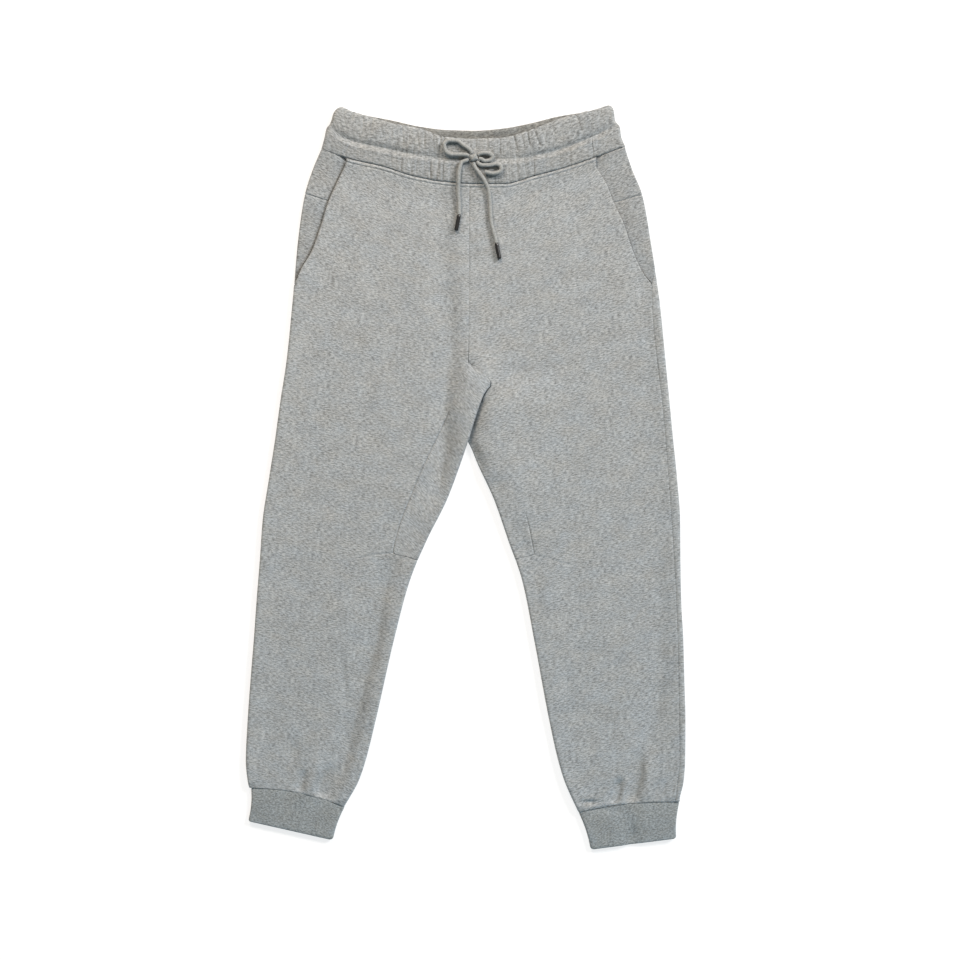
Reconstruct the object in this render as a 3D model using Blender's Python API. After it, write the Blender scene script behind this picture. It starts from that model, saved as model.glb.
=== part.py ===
"""Jogger sweatpants laid flat on their back, cut and sewn from fleece, with rib cuffs and a tied drawcord.

X runs to the wearer's left, Y towards the waist and Z up from the surface that the garment lies on. Each
piece of cloth is one closed wall, lofted through rows of points that run across the garment.
"""

import math

import bmesh
import bpy
import numpy as np

# Cloth
FLEECE = 0.0020  # wall of the body cloth
RIB = 0.0030  # wall of a cuff, rib folded double
BAND = 0.0044  # wall of the waistband, cloth folded over elastic
SEAM_GAP = 0.0003  # clearance between neighbouring pieces

# Heights above the surface
BODY_TOP = 0.0056  # top of the front where both layers lie flat
EDGE_TOP = 0.0070  # top of a leg beside its folded edge
CUFF_TOP = 0.0078
BAND_TOP = 0.0096
FACING_TOP = 0.0045  # side pieces where they pass under the pocket edge
LOWEST_TOP = 0.0045
HIGHEST_TOP = 0.0079
EDGE_REACH = 0.0200  # how far from its fold a leg's edge stands up
WAIST_RISE = 0.0020  # of the front beside the waist seam
WAIST_REACH = 0.0140
CROTCH = (0.0160, 0.1430)  # middle of the swelling over the crotch
CROTCH_RISE = 0.0012
CROTCH_REACH = 0.0300
POCKET_RISE = 0.0019  # of the pocket's edge over the pieces tucked under it
POCKET_REACH = 0.0180
FLAP_REACH = 0.0350  # how far from the inner fold the cloth climbs over, or sinks under, the other leg
FOLD_RADIUS = 0.0035  # of a leg's folded edge, seen from above
BAND_FOLD_RADIUS = 0.0050
SIDE_RETURN = 0.0100  # how far a piece wraps under a folded edge
INSEAM_RETURN = 0.0140
POCKET_TUCK = 0.0080  # how far the side pieces run under the pocket edge

# Drawcord
CORD_RADIUS = 0.0025
TIP_RADIUS = 0.0028
TIP_LENGTH = 0.0230
POINT_SPACING = 0.0070  # between the points of a cord's curve
ROUTE_STEP = 0.00025  # between the points that its route is worked out at
CORD_EASE = 0.0040  # half of the length over which a cord bridges the cloth's hollows
TIP_GAP = 0.0009  # between the end of the cord and its tip
KNOT_SIZE = (0.0070, 0.0060, 0.0048)
SQUEEZE = 0.75  # share of its thickness that the cord keeps where it enters the knot

GREY = (0.40, 0.41, 0.40)
RIB_GREY = (0.31, 0.33, 0.33)
CORD_GREY = (0.43, 0.43, 0.41)
BLACK = (0.012, 0.012, 0.013)

# Outer edges of the two legs, from the waist seam to the cuff seam.
OUTER_EDGES = (
    # y, right leg x, left leg x
    (0.4580, -0.2015, 0.2235),
    (0.4300, -0.2135, 0.2330),
    (0.3950, -0.2245, 0.2470),
    (0.3320, -0.2340, 0.2585),
    (0.2480, -0.2415, 0.2710),
    (0.1640, -0.2500, 0.2795),
    (0.1080, -0.2585, 0.2850),
    (0.0505, -0.2665, 0.2905),
    (-0.0040, -0.2750, 0.2960),
    (-0.0600, -0.2835, 0.3000),
    (-0.1160, -0.2875, 0.3005),
    (-0.1720, -0.2920, 0.3015),
    (-0.2280, -0.2960, 0.3045),
    (-0.2840, -0.3005, 0.3060),
    (-0.3400, -0.3045, 0.3075),
    (-0.3960, -0.3070, 0.3070),
    (-0.4240, -0.3045, 0.3050),
    (-0.4480, -0.2980, 0.2995),
)

# Inner edge of the right leg. Above the crotch it is the fold that lies over the left thigh.
RIGHT_INNER = (
    # y, x
    (0.1430, 0.0440),
    (0.1360, 0.0405),
    (0.1280, 0.0360),
    (0.1180, 0.0275),
    (0.1060, 0.0220),
    (0.0845, 0.0145),
    (0.0500, 0.0038),
    (0.0240, -0.0050),
    (-0.0320, -0.0260),
    (-0.0880, -0.0540),
    (-0.1440, -0.0775),
    (-0.2280, -0.1000),
    (-0.3400, -0.1255),
    (-0.3960, -0.1395),
    (-0.4240, -0.1490),
    (-0.4600, -0.1690),
)

# Inner edge of the left leg. Above the crotch it is only the line that its tucked end is set out from.
LEFT_INNER = (
    # y, x
    (0.1150, -0.0145),
    (0.1050, 0.0005),
    (0.0730, 0.0035),
    (0.0505, 0.0055),
    (0.0240, 0.0145),
    (-0.0320, 0.0400),
    (-0.0880, 0.0595),
    (-0.1440, 0.0790),
    (-0.2280, 0.0960),
    (-0.3400, 0.1170),
    (-0.3960, 0.1295),
    (-0.4240, 0.1380),
    (-0.4690, 0.1580),
)

# The waistband from its right side to its left side.
BAND_LENGTHWISE = (
    # share, front top y, back top y, groove between channels, waist seam y
    (0.00, 0.5175, 0.5175, 0.42, 0.4580),
    (0.05, 0.5110, 0.5105, 0.56, 0.4500),
    (0.10, 0.5055, 0.5060, 0.60, 0.4430),
    (0.20, 0.4945, 0.4985, 0.58, 0.4335),
    (0.30, 0.4870, 0.4900, 0.54, 0.4200),
    (0.40, 0.4750, 0.4855, 0.47, 0.4125),
    (0.50, 0.4730, 0.4845, 0.44, 0.4090),
    (0.60, 0.4745, 0.4875, 0.46, 0.4090),
    (0.70, 0.4850, 0.4945, 0.57, 0.4200),
    (0.80, 0.4995, 0.5040, 0.61, 0.4315),
    (0.90, 0.5105, 0.5105, 0.56, 0.4460),
    (1.00, 0.5195, 0.5195, 0.45, 0.4615),
)

# The waistband's two folded sides, from its top edge to the waist seam.
BAND_SIDES = (
    # share, right x, left x
    (0.00, -0.1785, 0.2050),
    (0.15, -0.1845, 0.2075),
    (0.36, -0.1885, 0.2090),
    (0.50, -0.1940, 0.2155),
    (0.75, -0.1975, 0.2175),
    (1.00, -0.2015, 0.2235),
)

# Rows across a leg: where each meets the outer and the inner edge, how much of the waist seam's curve it
# keeps, and how far its middle bows towards the waist.
RIGHT_ROWS = (
    # y outer, y inner, waist share, bow
    (0.4580, 0.4090, 1.0, 0.0),
    (0.3960, 0.3520, 0.9, 0.0),
    (0.3350, 0.3050, 0.5, 0.0),
    (0.2700, 0.2600, 0.1, 0.0),
    (0.2000, 0.2000, 0.0, 0.0),
    (0.1000, 0.1000, 0.0, 0.0),
    (0.0000, 0.0000, 0.0, 0.0),
    (-0.1000, -0.1000, 0.0, 0.0),
    (-0.2000, -0.2000, 0.0, 0.0),
    (-0.3000, -0.3050, 0.0, 0.001),
    (-0.3800, -0.3950, 0.0, 0.003),
    (-0.4340, -0.4600, 0.0, 0.0065),
)
LEFT_ROWS = (
    # y outer, y inner, waist share, bow
    (0.4615, 0.4090, 1.0, 0.0),
    (0.3950, 0.3500, 0.9, 0.0),
    (0.3350, 0.3050, 0.5, 0.0),
    (0.2700, 0.2600, 0.1, 0.0),
    (0.2000, 0.2000, 0.0, 0.0),
    (0.1000, 0.1000, 0.0, 0.0),
    (0.0000, 0.0000, 0.0, 0.0),
    (-0.1000, -0.1000, 0.0, 0.0),
    (-0.2000, -0.2000, 0.0, 0.0),
    (-0.3000, -0.3020, 0.0, 0.001),
    (-0.4000, -0.4060, 0.0, 0.002),
    (-0.4535, -0.4680, 0.0, 0.0045),
)

# Seams on the front: the centre seam, the inner thigh seam, then the knee seam out to the inner edge.
RIGHT_FRONT_SEAM = (
    # y, x
    (0.4090, 0.0055),
    (0.2900, 0.0050),
    (0.1610, 0.0040),
    (0.1455, -0.0040),
    (0.1150, -0.0145),
    (0.0785, -0.0285),
    (0.0460, -0.0440),
    (0.0070, -0.0625),
    (-0.0335, -0.0790),
    (-0.0700, -0.0930),
    (-0.1065, -0.1010),
    (-0.1110, -0.0840),
    (-0.1180, -0.0600),
)
LEFT_FRONT_SEAM = (
    # y, x
    (0.4090, 0.0055),
    (0.2900, 0.0050),
    (0.1610, 0.0045),
    (0.1500, 0.0215),
    (0.1290, 0.0365),
    (0.1180, 0.0290),
    (0.1060, 0.0235),
    (0.0800, 0.0330),
    (0.0505, 0.0455),
    (0.0295, 0.0545),
    (-0.0110, 0.0695),
    (-0.0590, 0.0860),
    (-0.0925, 0.0930),
    (-0.1080, 0.0955),
    (-0.1125, 0.0790),
    (-0.1180, 0.0620),
)
RIGHT_POCKET_EDGE = (
    # y, x
    (0.4390, -0.1660),
    (0.3850, -0.1910),
    (0.3485, -0.2025),
    (0.3135, -0.2155),
    (0.2910, -0.2290),
    (0.2715, -0.2375),
    (0.2600, -0.2450),
)
LEFT_POCKET_EDGE = (
    # y, x
    (0.4325, 0.1825),
    (0.4100, 0.1965),
    (0.3810, 0.2080),
    (0.3515, 0.2220),
    (0.3295, 0.2290),
    (0.2865, 0.2470),
    (0.2690, 0.2600),
)
# The left side seam lies on the front below the pocket.
LEFT_SIDE_SEAM = (
    # y, x
    (0.2690, 0.2600),
    (0.2325, 0.2610),
    (0.1905, 0.2645),
    (0.0910, 0.2760),
    (-0.0210, 0.2850),
    (-0.1540, 0.2935),
    (-0.2500, 0.2970),
    (-0.3880, 0.2990),
    (-0.4500, 0.2935),
)
# Where the side pieces begin and end, by y at the outer edge.
YOKE_SEAMS = {-1: 0.3960, 1: 0.3950}
FACING_ENDS = {-1: 0.2530, 1: 0.2720}
# Where each inner thigh panel begins and ends, by y at the inner edge.
THIGH_TOPS = {-1: 0.1600, 1: 0.1050}
THIGH_END = -0.1370

# Levels where the seams turn and every piece has a row, by y at the outer or at the inner edge.
OUTER_LEVELS = {-1: (0.3960, 0.2700, 0.2530), 1: (0.3950, 0.3300, 0.3000, 0.2900, 0.2800, 0.2720, 0.2690)}
INNER_LEVELS = (0.1600, 0.1480, 0.1390, 0.1290, 0.1180, 0.1050, 0.0900, 0.0760, 0.0680, 0.0590, 0.0505,
                0.0430, 0.0350, 0.0200, 0.0020, -0.1065, -0.1110, -0.1175, -0.1240, -0.1370)
BASE_ROWS = 18
ROW_CLEARANCE = 0.007  # least share of a leg between a base row and a level

# How far a piece's edge has turned past the fold of a leg, where it passes from the front to the underside.
POCKET_WRAP = (
    # y, distance past the fold
    (0.2700, 0.0),
    (0.2500, SIDE_RETURN),
)
KNEE_WRAP = (
    # y, distance past the fold
    (-0.1175, 0.0),
    (-0.1380, INSEAM_RETURN),
)
RIGHT_THIGH_WRAP = (
    # y, distance past the fold; above the crotch this is the turn under the overlapping fold
    (0.1290, 0.0),
    (0.1180, 0.0035),
    (0.1050, 0.0080),
    (0.0600, 0.0080),
    (0.0020, INSEAM_RETURN),
)
LEFT_THIGH_END = (
    # y, distance inside the fold; negative once the panel has turned under it
    (0.1050, 0.0090),
    (0.0815, 0.0090),
    (0.0720, 0.0095),
    (0.0630, 0.0060),
    (0.0505, 0.0018),
    (0.0430, 0.0),
    (0.0350, -FOLD_RADIUS),
    (0.0020, -INSEAM_RETURN),
)
CENTRE_BACK = 0.0055  # x of the centre back seam
RIGHT_BACK_INNER = (
    # y, x
    (0.4090, CENTRE_BACK),
    (0.0760, CENTRE_BACK),
    (0.0590, -0.0020),
    (0.0505, -0.0052),
)
LEFT_BACK_INNER = (
    # y, x
    (0.4090, CENTRE_BACK),
    (0.0680, CENTRE_BACK),
    (0.0590, 0.0075),
    (0.0505, 0.0095),
)

# Height of the underside of the right leg's inner fold, where it climbs over the left thigh.
FLAP_FLOOR = (
    # y, z
    (0.1300, 0.0024),
    (0.1140, 0.0049),
    (0.0740, 0.0049),
    (0.0620, 0.0024),
    (0.0505, 0.0024),
    (0.0430, 0.0),
)

# Soft folds of the front: a trough has a negative height.
FOLDS = (
    # half width, height, points along the fold (x, y)
    (0.0085, -0.0010, ((-0.0400, 0.4045), (-0.0315, 0.3670), (-0.0295, 0.2785), (-0.0160, 0.2170))),
    (0.0095, -0.0011, ((-0.0160, 0.2170), (-0.0175, 0.1500), (-0.0245, 0.0685), (-0.0495, -0.0505))),
    (0.0100, 0.0009, ((-0.0075, 0.3880), (-0.0050, 0.2760), (-0.0035, 0.1920))),
    (0.0110, 0.0007, ((0.0185, 0.3920), (0.0205, 0.3200))),
    (0.0050, -0.0013, ((0.0080, 0.1660), (0.0220, 0.1510))),
    (0.0095, -0.0009, ((-0.1100, -0.1750), (-0.1325, -0.3065), (-0.1590, -0.3800), (-0.1870, -0.4285))),
    (0.0045, -0.0006, ((-0.1700, -0.2590), (-0.1630, -0.3205))),
    (0.0055, -0.0014, ((-0.2250, -0.4130), (-0.2300, -0.4340))),
    (0.0060, -0.0016, ((-0.1820, -0.4180), (-0.2060, -0.4460))),
    (0.0075, 0.0009, ((-0.2150, -0.4100), (-0.2165, -0.4360))),
    (0.0110, -0.0006, ((0.2710, -0.1540), (0.2710, -0.3290))),
    (0.0065, -0.0014, ((0.2585, -0.3065), (0.2585, -0.3865), (0.2400, -0.4440))),
    (0.0055, -0.0015, ((0.2215, -0.4330), (0.2125, -0.4560))),
    (0.0045, -0.0012, ((0.1650, -0.4565), (0.1850, -0.4490))),
    (0.0130, -0.0005, ((0.0385, -0.0015), (0.0495, -0.0210))),
    (0.0100, -0.0005, ((0.0775, -0.0995), (0.0820, -0.1160))),
)

# Cuffs: the four corners of each, (x, y).
RIGHT_CUFF = {
    "outer seam": (-0.2995, -0.4340),
    "inner seam": (-0.1685, -0.4600),
    "outer hem": (-0.3038, -0.4815),
    "inner hem": (-0.1855, -0.5070),
}
LEFT_CUFF = {
    "outer seam": (0.2990, -0.4535),
    "inner seam": (0.1580, -0.4680),
    "outer hem": (0.2945, -0.5055),
    "inner hem": (0.1750, -0.5205),
}

# Where a cuff's section is drawn, from its seam to its hem, and the share of the wall left there.
CUFF_SECTIONS = (
    # share of the way, share of the wall
    (0.011, 1.0),
    (0.35, 1.0),
    (0.65, 1.0),
    (0.95, 1.0),
    (0.98, 0.8),
    (1.0, 0.3),
)

# Waistband
BAND_WIDTH = 0.400  # of the flattened band, along its middle
FRONT_BAND_END = 0.3620  # distance from the right side to the seam where the back band comes round
FRONT_STATIONS = 116  # sections along the front band, enough to follow its gathers
ACROSS = (0.0, 0.06, 0.5, 1.0, 1.5, 1.987)  # lines along the band: 0 top edge, 1 groove, 2 waist seam
GATHER_PITCH = 0.0108
GATHER_HEIGHT = 0.0008
PUFF_HEIGHT = 0.0017  # how far a channel swells above the groove
KNOT_HEIGHT = BAND_TOP + KNOT_SIZE[2] + 0.0006

# Drawcord. Each run leaves the knot at an angle in degrees, follows its points (x, y), and goes back to the
# knot at a second angle or lies free. The free ends' last points are those of their tips.
KNOT = (0.0115, 0.4450)
KNOT_GAP = 0.0004
CORD_LIFT = 0.0008  # between the cord and the crests of the cloth under it
LOOP_A = ((-0.0045, 0.4635), (-0.0120, 0.4685), (-0.0235, 0.4690), (-0.0297, 0.4630), (-0.0275, 0.4545),
          (-0.0195, 0.4495), (-0.0085, 0.4495))
LOOP_B = ((0.0270, 0.4518), (0.0340, 0.4505), (0.0380, 0.4460), (0.0340, 0.4415), (0.0270, 0.4405))
LOOP_C = ((0.0235, 0.4345), (0.0330, 0.4345), (0.0420, 0.4360), (0.0485, 0.4340), (0.0500, 0.4290),
          (0.0460, 0.4245), (0.0380, 0.4230), (0.0272, 0.4252))
END_RIGHT = ((-0.0050, 0.4385), (-0.0083, 0.4290), (-0.0095, 0.4190), (-0.0100, 0.3980), (-0.0090, 0.3820),
             (-0.0088, 0.3680), (-0.0130, 0.3435))
END_LEFT = ((0.0137, 0.4310), (0.0186, 0.4245), (0.0265, 0.4130), (0.0325, 0.3980), (0.0340, 0.3820),
            (0.0355, 0.3580), (0.0400, 0.3390), (0.0430, 0.3275), (0.0475, 0.3040))
CORDS = (
    # name, tip, first angle, second angle, points
    ("cord_loop_a", None, 112.0, 157.0, LOOP_A),
    ("cord_loop_b", None, 35.0, -10.0, LOOP_B),
    ("cord_loop_c", None, -52.0, None, LOOP_C),
    ("cord_end_right", "cord_tip_right", 202.0, None, END_RIGHT),
    ("cord_end_left", "cord_tip_left", 272.0, None, END_LEFT),
)


def smooth(at, xs, ys):
    """Values at `at` of the smooth curve through the points (xs, ys), which overshoots none of them."""
    xs, ys = np.asarray(xs, float), np.asarray(ys, float)
    if xs[0] > xs[-1]:
        xs, ys = xs[::-1], ys[::-1]
    at = np.clip(np.asarray(at, float), xs[0], xs[-1])
    step = np.diff(xs)
    slope = np.diff(ys) / step
    tangent = np.zeros(len(xs))
    same = slope[:-1] * slope[1:] > 0
    w1, w2 = 2 * step[1:] + step[:-1], step[1:] + 2 * step[:-1]
    safe = np.where(same, slope[:-1] * slope[1:], 1.0)
    tangent[1:-1] = np.where(same, (w1 + w2) * safe / (w1 * slope[1:] + w2 * slope[:-1] + ~same), 0.0)
    tangent[0], tangent[-1] = slope[0], slope[-1]
    k = np.clip(np.searchsorted(xs, at, side="right") - 1, 0, len(xs) - 2)
    t = (at - xs[k]) / step[k]
    return (
        ys[k] * (1 + 2 * t) * (1 - t) ** 2
        + tangent[k] * step[k] * t * (1 - t) ** 2
        + ys[k + 1] * t * t * (3 - 2 * t)
        + tangent[k + 1] * step[k] * t * t * (t - 1)
    )


def column(table, number, at):
    """A table's column read at a value of its first column."""
    return smooth(at, [row[0] for row in table], [row[number] for row in table])


def ramp(value, low, high):
    """0 at low, 1 at high, smooth between."""
    t = np.clip((value - low) / (high - low), 0.0, 1.0)
    return t * t * (3 - 2 * t)


def distance_to_path(x, y, points):
    """Distance from each (x, y) to a chain of straight runs."""
    best = np.full(np.shape(x), 1e9)
    for (ax, ay), (bx, by) in zip(points, points[1:]):
        length = math.hypot(bx - ax, by - ay)
        t = np.clip(((x - ax) * (bx - ax) + (y - ay) * (by - ay)) / length**2, 0.0, 1.0)
        best = np.minimum(best, np.hypot(x - ax - t * (bx - ax), y - ay - t * (by - ay)))
    return best


def waist_seam(x):
    """y of the waist seam at x."""
    share = (x - BAND_SIDES[-1][1]) / (BAND_SIDES[-1][2] - BAND_SIDES[-1][1])
    return column(BAND_LENGTHWISE, 4, share)


def front_top(x, y, side):
    """Height of the front's upper surface. side is -1 on the wearer's right and +1 on the left."""
    right_outer, left_outer = column(OUTER_EDGES, 1, y), column(OUTER_EDGES, 2, y)
    to_outer = np.minimum(np.abs(x - right_outer), np.abs(left_outer - x))
    inner = column(RIGHT_INNER, 1, y) if side < 0 else column(LEFT_INNER, 1, y)
    to_inner = np.abs(x - inner)
    legs_part = ramp(y, 0.060, 0.020)
    z = BODY_TOP + (EDGE_TOP - BODY_TOP) * np.maximum(
        np.exp(-((to_outer / EDGE_REACH) ** 2)), legs_part * np.exp(-((to_inner / EDGE_REACH) ** 2))
    )
    z = z + WAIST_RISE * np.exp(-(((waist_seam(x) - y) / WAIST_REACH) ** 2))
    to_crotch = np.hypot(x - CROTCH[0], y - CROTCH[1])
    z = z + CROTCH_RISE * np.exp(-((to_crotch / CROTCH_REACH) ** 2))
    for width, height, points in FOLDS:
        z = z + height * np.exp(-((distance_to_path(x, y, points) / width) ** 2))
    z = np.clip(z, LOWEST_TOP, HIGHEST_TOP)
    if side < 0:
        crest = column(FLAP_FLOOR, 1, y) + 2 * FLEECE + 0.0005
        over = ramp(x, inner - FLAP_REACH, inner - 0.009) * ramp(y, 0.020, 0.050)
        return z + (np.maximum(crest, z) - z) * over
    under = ramp(y, 0.130, 0.113) * ramp(y, 0.020, 0.048)
    fold = column(RIGHT_INNER, 1, y)
    return z + (LOWEST_TOP - z) * under * ramp(x, fold + FLAP_REACH, fold + 0.005)


def pocket_lift(x, y, pocket_edge):
    """How far the pocket's edge stands up over the pieces tucked under it."""
    edge = column(pocket_edge, 1, y)
    return POCKET_RISE * np.exp(-(((x - edge) / POCKET_REACH) ** 2)) * ramp(y, 0.262, 0.285)


class Leg:
    """One leg with its half of the hips: a flattened tube that rows run across."""

    def __init__(self, side, rows, inner_edge, pocket_edge):
        self.side = side
        self.rows = rows
        self.inner_edge = inner_edge
        self.pocket_edge = pocket_edge
        self.waist_x0 = column(OUTER_EDGES, 1 if side < 0 else 2, rows[0][0]).item()
        self.waist_x1 = column(inner_edge, 1, rows[0][1]).item()
        levels = [self.v_at(y, outer=False) for y in INNER_LEVELS]
        levels += [self.v_at(y) for y in OUTER_LEVELS[side]]
        base = [v for v in np.linspace(0.0, 1.0, BASE_ROWS) if min(abs(v - a) for a in levels) > ROW_CLEARANCE]
        self.shares = sorted([*base, *levels])

    def between(self, v_start, v_end):
        """The rows from v_start to v_end."""
        close = 0.0005
        inner = [v for v in self.shares if v_start + close < v < v_end - close]
        return [self.row(v) for v in (v_start, *inner, v_end)]

    def row(self, v):
        """The row at v, from 0 at the waist seam to 1 at the cuff seam."""
        shares = np.linspace(0.0, 1.0, len(self.rows))
        y0, y1, waist, bow = (smooth(v, shares, [r[k] for r in self.rows]).item() for k in range(4))
        x0 = column(OUTER_EDGES, 1 if self.side < 0 else 2, y0).item()
        x1 = column(self.inner_edge, 1, y1).item()
        return Row(self, x0, y0, x1, y1, waist, bow)

    def v_at(self, y, outer=True):
        """The v of the row that meets the leg's outer (or inner) edge at y."""
        ys = [row[0 if outer else 1] for row in self.rows]
        fine = np.linspace(0.0, 1.0, 2001)
        heights = smooth(fine, np.linspace(0.0, 1.0, len(ys)), ys)
        return float(fine[np.argmin(np.abs(heights - y))])

    def top(self, x, y):
        return front_top(x, y, self.side) + pocket_lift(x, y, self.pocket_edge)

    def side_top(self, x, y):
        """Height beyond the pocket edge: low where pieces are tucked in, full at the leg's folded edge."""
        outside = self.side * (x - column(self.pocket_edge, 1, y))
        beside_pocket = FACING_TOP + (EDGE_TOP - FACING_TOP) * ramp(outside, 0.002, 0.020)
        plain = front_top(x, y, self.side)
        return plain + (beside_pocket - plain) * ramp(y, 0.255, 0.275)


class Row:
    """A line across a leg, and the tube's section along it."""

    def __init__(self, leg, x0, y0, x1, y1, waist, bow):
        self.leg = leg
        self.x0, self.y0, self.x1, self.y1 = x0, y0, x1, y1
        self.waist, self.bow = waist, bow
        self.width = abs(x1 - x0)

    def y(self, x):
        """y of the row's line at x."""
        share = np.clip((x - self.x0) / (self.x1 - self.x0), 0.0, 1.0)
        y = self.y0 + (self.y1 - self.y0) * share + self.bow * np.sin(math.pi * share)
        if self.waist > 0:
            first, leg = self.leg.rows[0], self.leg
            on_seam = leg.waist_x0 + (leg.waist_x1 - leg.waist_x0) * share
            y = y + self.waist * (waist_seam(on_seam) - first[0] - (first[1] - first[0]) * share)
        return y

    def crossing(self, seam):
        """Distance from the outer edge to where the row crosses a seam of the front."""
        x = 0.5 * (self.x0 + self.x1)
        for _ in range(12):
            x = 0.5 * x + 0.5 * column(seam, 1, self.y(x))
        return float(np.clip(-self.leg.side * (x - self.x0), 0.0, self.width))

    def section(self, q, top, thick):
        """Outer and inner points at distances q from the outer edge, over the front where q is positive and
        under the garment where it is negative, or more than the row's width."""
        q = np.asarray(q, float)
        near_outer = q < self.width / 2
        inside = np.where(near_outer, q, self.width - q)
        edge = np.where(near_outer, self.x0, self.x1)
        inward = np.where(near_outer, -self.leg.side, self.leg.side)
        lifted = column(FLAP_FLOOR, 1, self.y1).item() if self.leg.side < 0 else 0.0
        floor = np.where(near_outer, 0.0, lifted)
        radius = np.where(near_outer | (lifted <= 0.0), FOLD_RADIUS, FOLD_RADIUS - 0.4 * lifted / 2)
        flat_x = edge + inward * np.abs(inside)
        crest_x = edge + inward * np.maximum(np.abs(inside), radius)
        crest = top(crest_x, self.y(crest_x))
        angle = 0.5 * math.pi * np.clip(inside / radius, -1.0, 1.0)
        centre_x, centre_z, half = edge + inward * radius, (crest + floor) / 2, (crest - floor) / 2
        on_arc = np.abs(inside) < radius
        points = []
        for offset in (0.0, thick):
            arc_x = centre_x - inward * (radius - offset) * np.cos(angle)
            x = np.where(on_arc, arc_x, flat_x)
            z = centre_z + (half - offset) * np.sin(angle)
            points.append(np.stack([x, self.y(x), z], axis=-1))
        return points[0], points[1]

    def spread(self, start, end, count):
        """count distances from start to end, closer together round the folded edges."""
        extra = 0.045
        fine = np.linspace(start, end, 800)
        warped = fine * math.copysign(1.0, end - start)
        for edge in (0.0, self.width):
            turned = ramp(fine, edge - FOLD_RADIUS, edge + FOLD_RADIUS)
            warped = warped + extra * (turned if end > start else 1 - turned)
        return np.interp(np.linspace(warped[0], warped[-1], count), warped, fine)


RIGHT_LEG = Leg(-1, RIGHT_ROWS, RIGHT_INNER, RIGHT_POCKET_EDGE)
LEFT_LEG = Leg(1, LEFT_ROWS, LEFT_INNER, LEFT_POCKET_EDGE)


def material(name, colour, roughness):
    """A plain Principled BSDF."""
    made = bpy.data.materials.new(name)
    made.use_nodes = True
    shader = made.node_tree.nodes["Principled BSDF"]
    shader.inputs["Base Color"].default_value = (*colour, 1.0)
    shader.inputs["Roughness"].default_value = roughness
    shader.inputs["Metallic"].default_value = 0.0
    return made


def add_object(collection, name, data, colour, roughness):
    """Puts a mesh or curve in the collection with a material of its own."""
    piece = bpy.data.objects.new(name, data)
    piece.data.materials.append(material(name, colour, roughness))
    collection.objects.link(piece)
    return piece


def wall(collection, name, rows, colour, closed=False):
    """A wall of cloth lofted through rows of (outer, inner) points. A closed wall joins each row's ends."""
    count = len(rows[0][0])
    points = np.concatenate([np.concatenate([outer, inner]) for outer, inner in rows])
    faces = []

    def index(r, side, c):
        return (2 * r + side) * count + c % count

    def quad(a, b, c, d):
        faces.append((a, b, c, d))

    last = len(rows) - 1
    spans = range(count if closed else count - 1)
    for r in range(last):
        for c in spans:
            quad(index(r, 0, c), index(r + 1, 0, c), index(r + 1, 0, c + 1), index(r, 0, c + 1))
            quad(index(r, 1, c), index(r, 1, c + 1), index(r + 1, 1, c + 1), index(r + 1, 1, c))
        if not closed:
            quad(index(r, 0, 0), index(r, 1, 0), index(r + 1, 1, 0), index(r + 1, 0, 0))
            end = count - 1
            quad(index(r, 0, end), index(r + 1, 0, end), index(r + 1, 1, end), index(r, 1, end))
    for c in spans:
        quad(index(0, 0, c), index(0, 0, c + 1), index(0, 1, c + 1), index(0, 1, c))
        quad(index(last, 0, c), index(last, 1, c), index(last, 1, c + 1), index(last, 0, c + 1))
    mesh = bpy.data.meshes.new(name)
    mesh.from_pydata([tuple(point) for point in points], [], faces)
    shell = bmesh.new()
    shell.from_mesh(mesh)
    bmesh.ops.recalc_face_normals(shell, faces=shell.faces)
    shell.to_mesh(mesh)
    shell.free()
    mesh.shade_smooth()
    mesh.set_sharp_from_angle(angle=math.radians(50))
    return add_object(collection, name, mesh, colour, 0.95)


def panel(rows, columns, start, end, top):
    """Points of a panel between two boundaries, each a function of a row that gives a distance q. Its first
    and last rows are pulled in by half the seam gap."""
    points = []
    for row in rows:
        q_start, q_end = start(row), end(row)
        sign = math.copysign(SEAM_GAP / 2, q_end - q_start)
        q = row.spread(q_start + sign, q_end - sign, columns)
        points.append(row.section(q, top, FLEECE))
    for outermost, inwards in ((0, -SEAM_GAP / 2), (-1, SEAM_GAP / 2)):
        for surface in points[outermost]:
            surface[:, 1] += inwards
    return points


def pocket_boundary(leg):
    """The pocket edge, then on the right round the fold to the underside, on the left the side seam."""
    def right(row):
        at_edge = row.crossing(RIGHT_POCKET_EDGE) if row.y0 > RIGHT_POCKET_EDGE[-1][0] else 0.0
        return at_edge - column(POCKET_WRAP, 1, row.y0).item()

    def left(row):
        return row.crossing(LEFT_POCKET_EDGE if row.y0 > LEFT_SIDE_SEAM[0][0] else LEFT_SIDE_SEAM)

    return right if leg.side < 0 else left


def side_boundary(leg):
    """The side seam: under the garment, and on the front below the left pocket."""
    if leg.side < 0:
        return lambda row: -SIDE_RETURN

    def boundary(row):
        on_front = row.crossing(LEFT_SIDE_SEAM) * ramp(row.y0, 0.300, 0.268).item()
        return on_front - SIDE_RETURN * ramp(row.y0, 0.268, 0.330).item()

    return boundary


def front_boundary(seam):
    """The centre, thigh and knee seams, then round the inner fold to the underside."""
    return lambda row: row.crossing(seam) + column(KNEE_WRAP, 1, row.y1).item()


def thigh_return(leg, row):
    """How far the inner thigh panel has turned past the leg's inner fold."""
    if leg.side < 0:
        return column(RIGHT_THIGH_WRAP, 1, row.y1).item()
    return -column(LEFT_THIGH_END, 1, row.y1).item()


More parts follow.
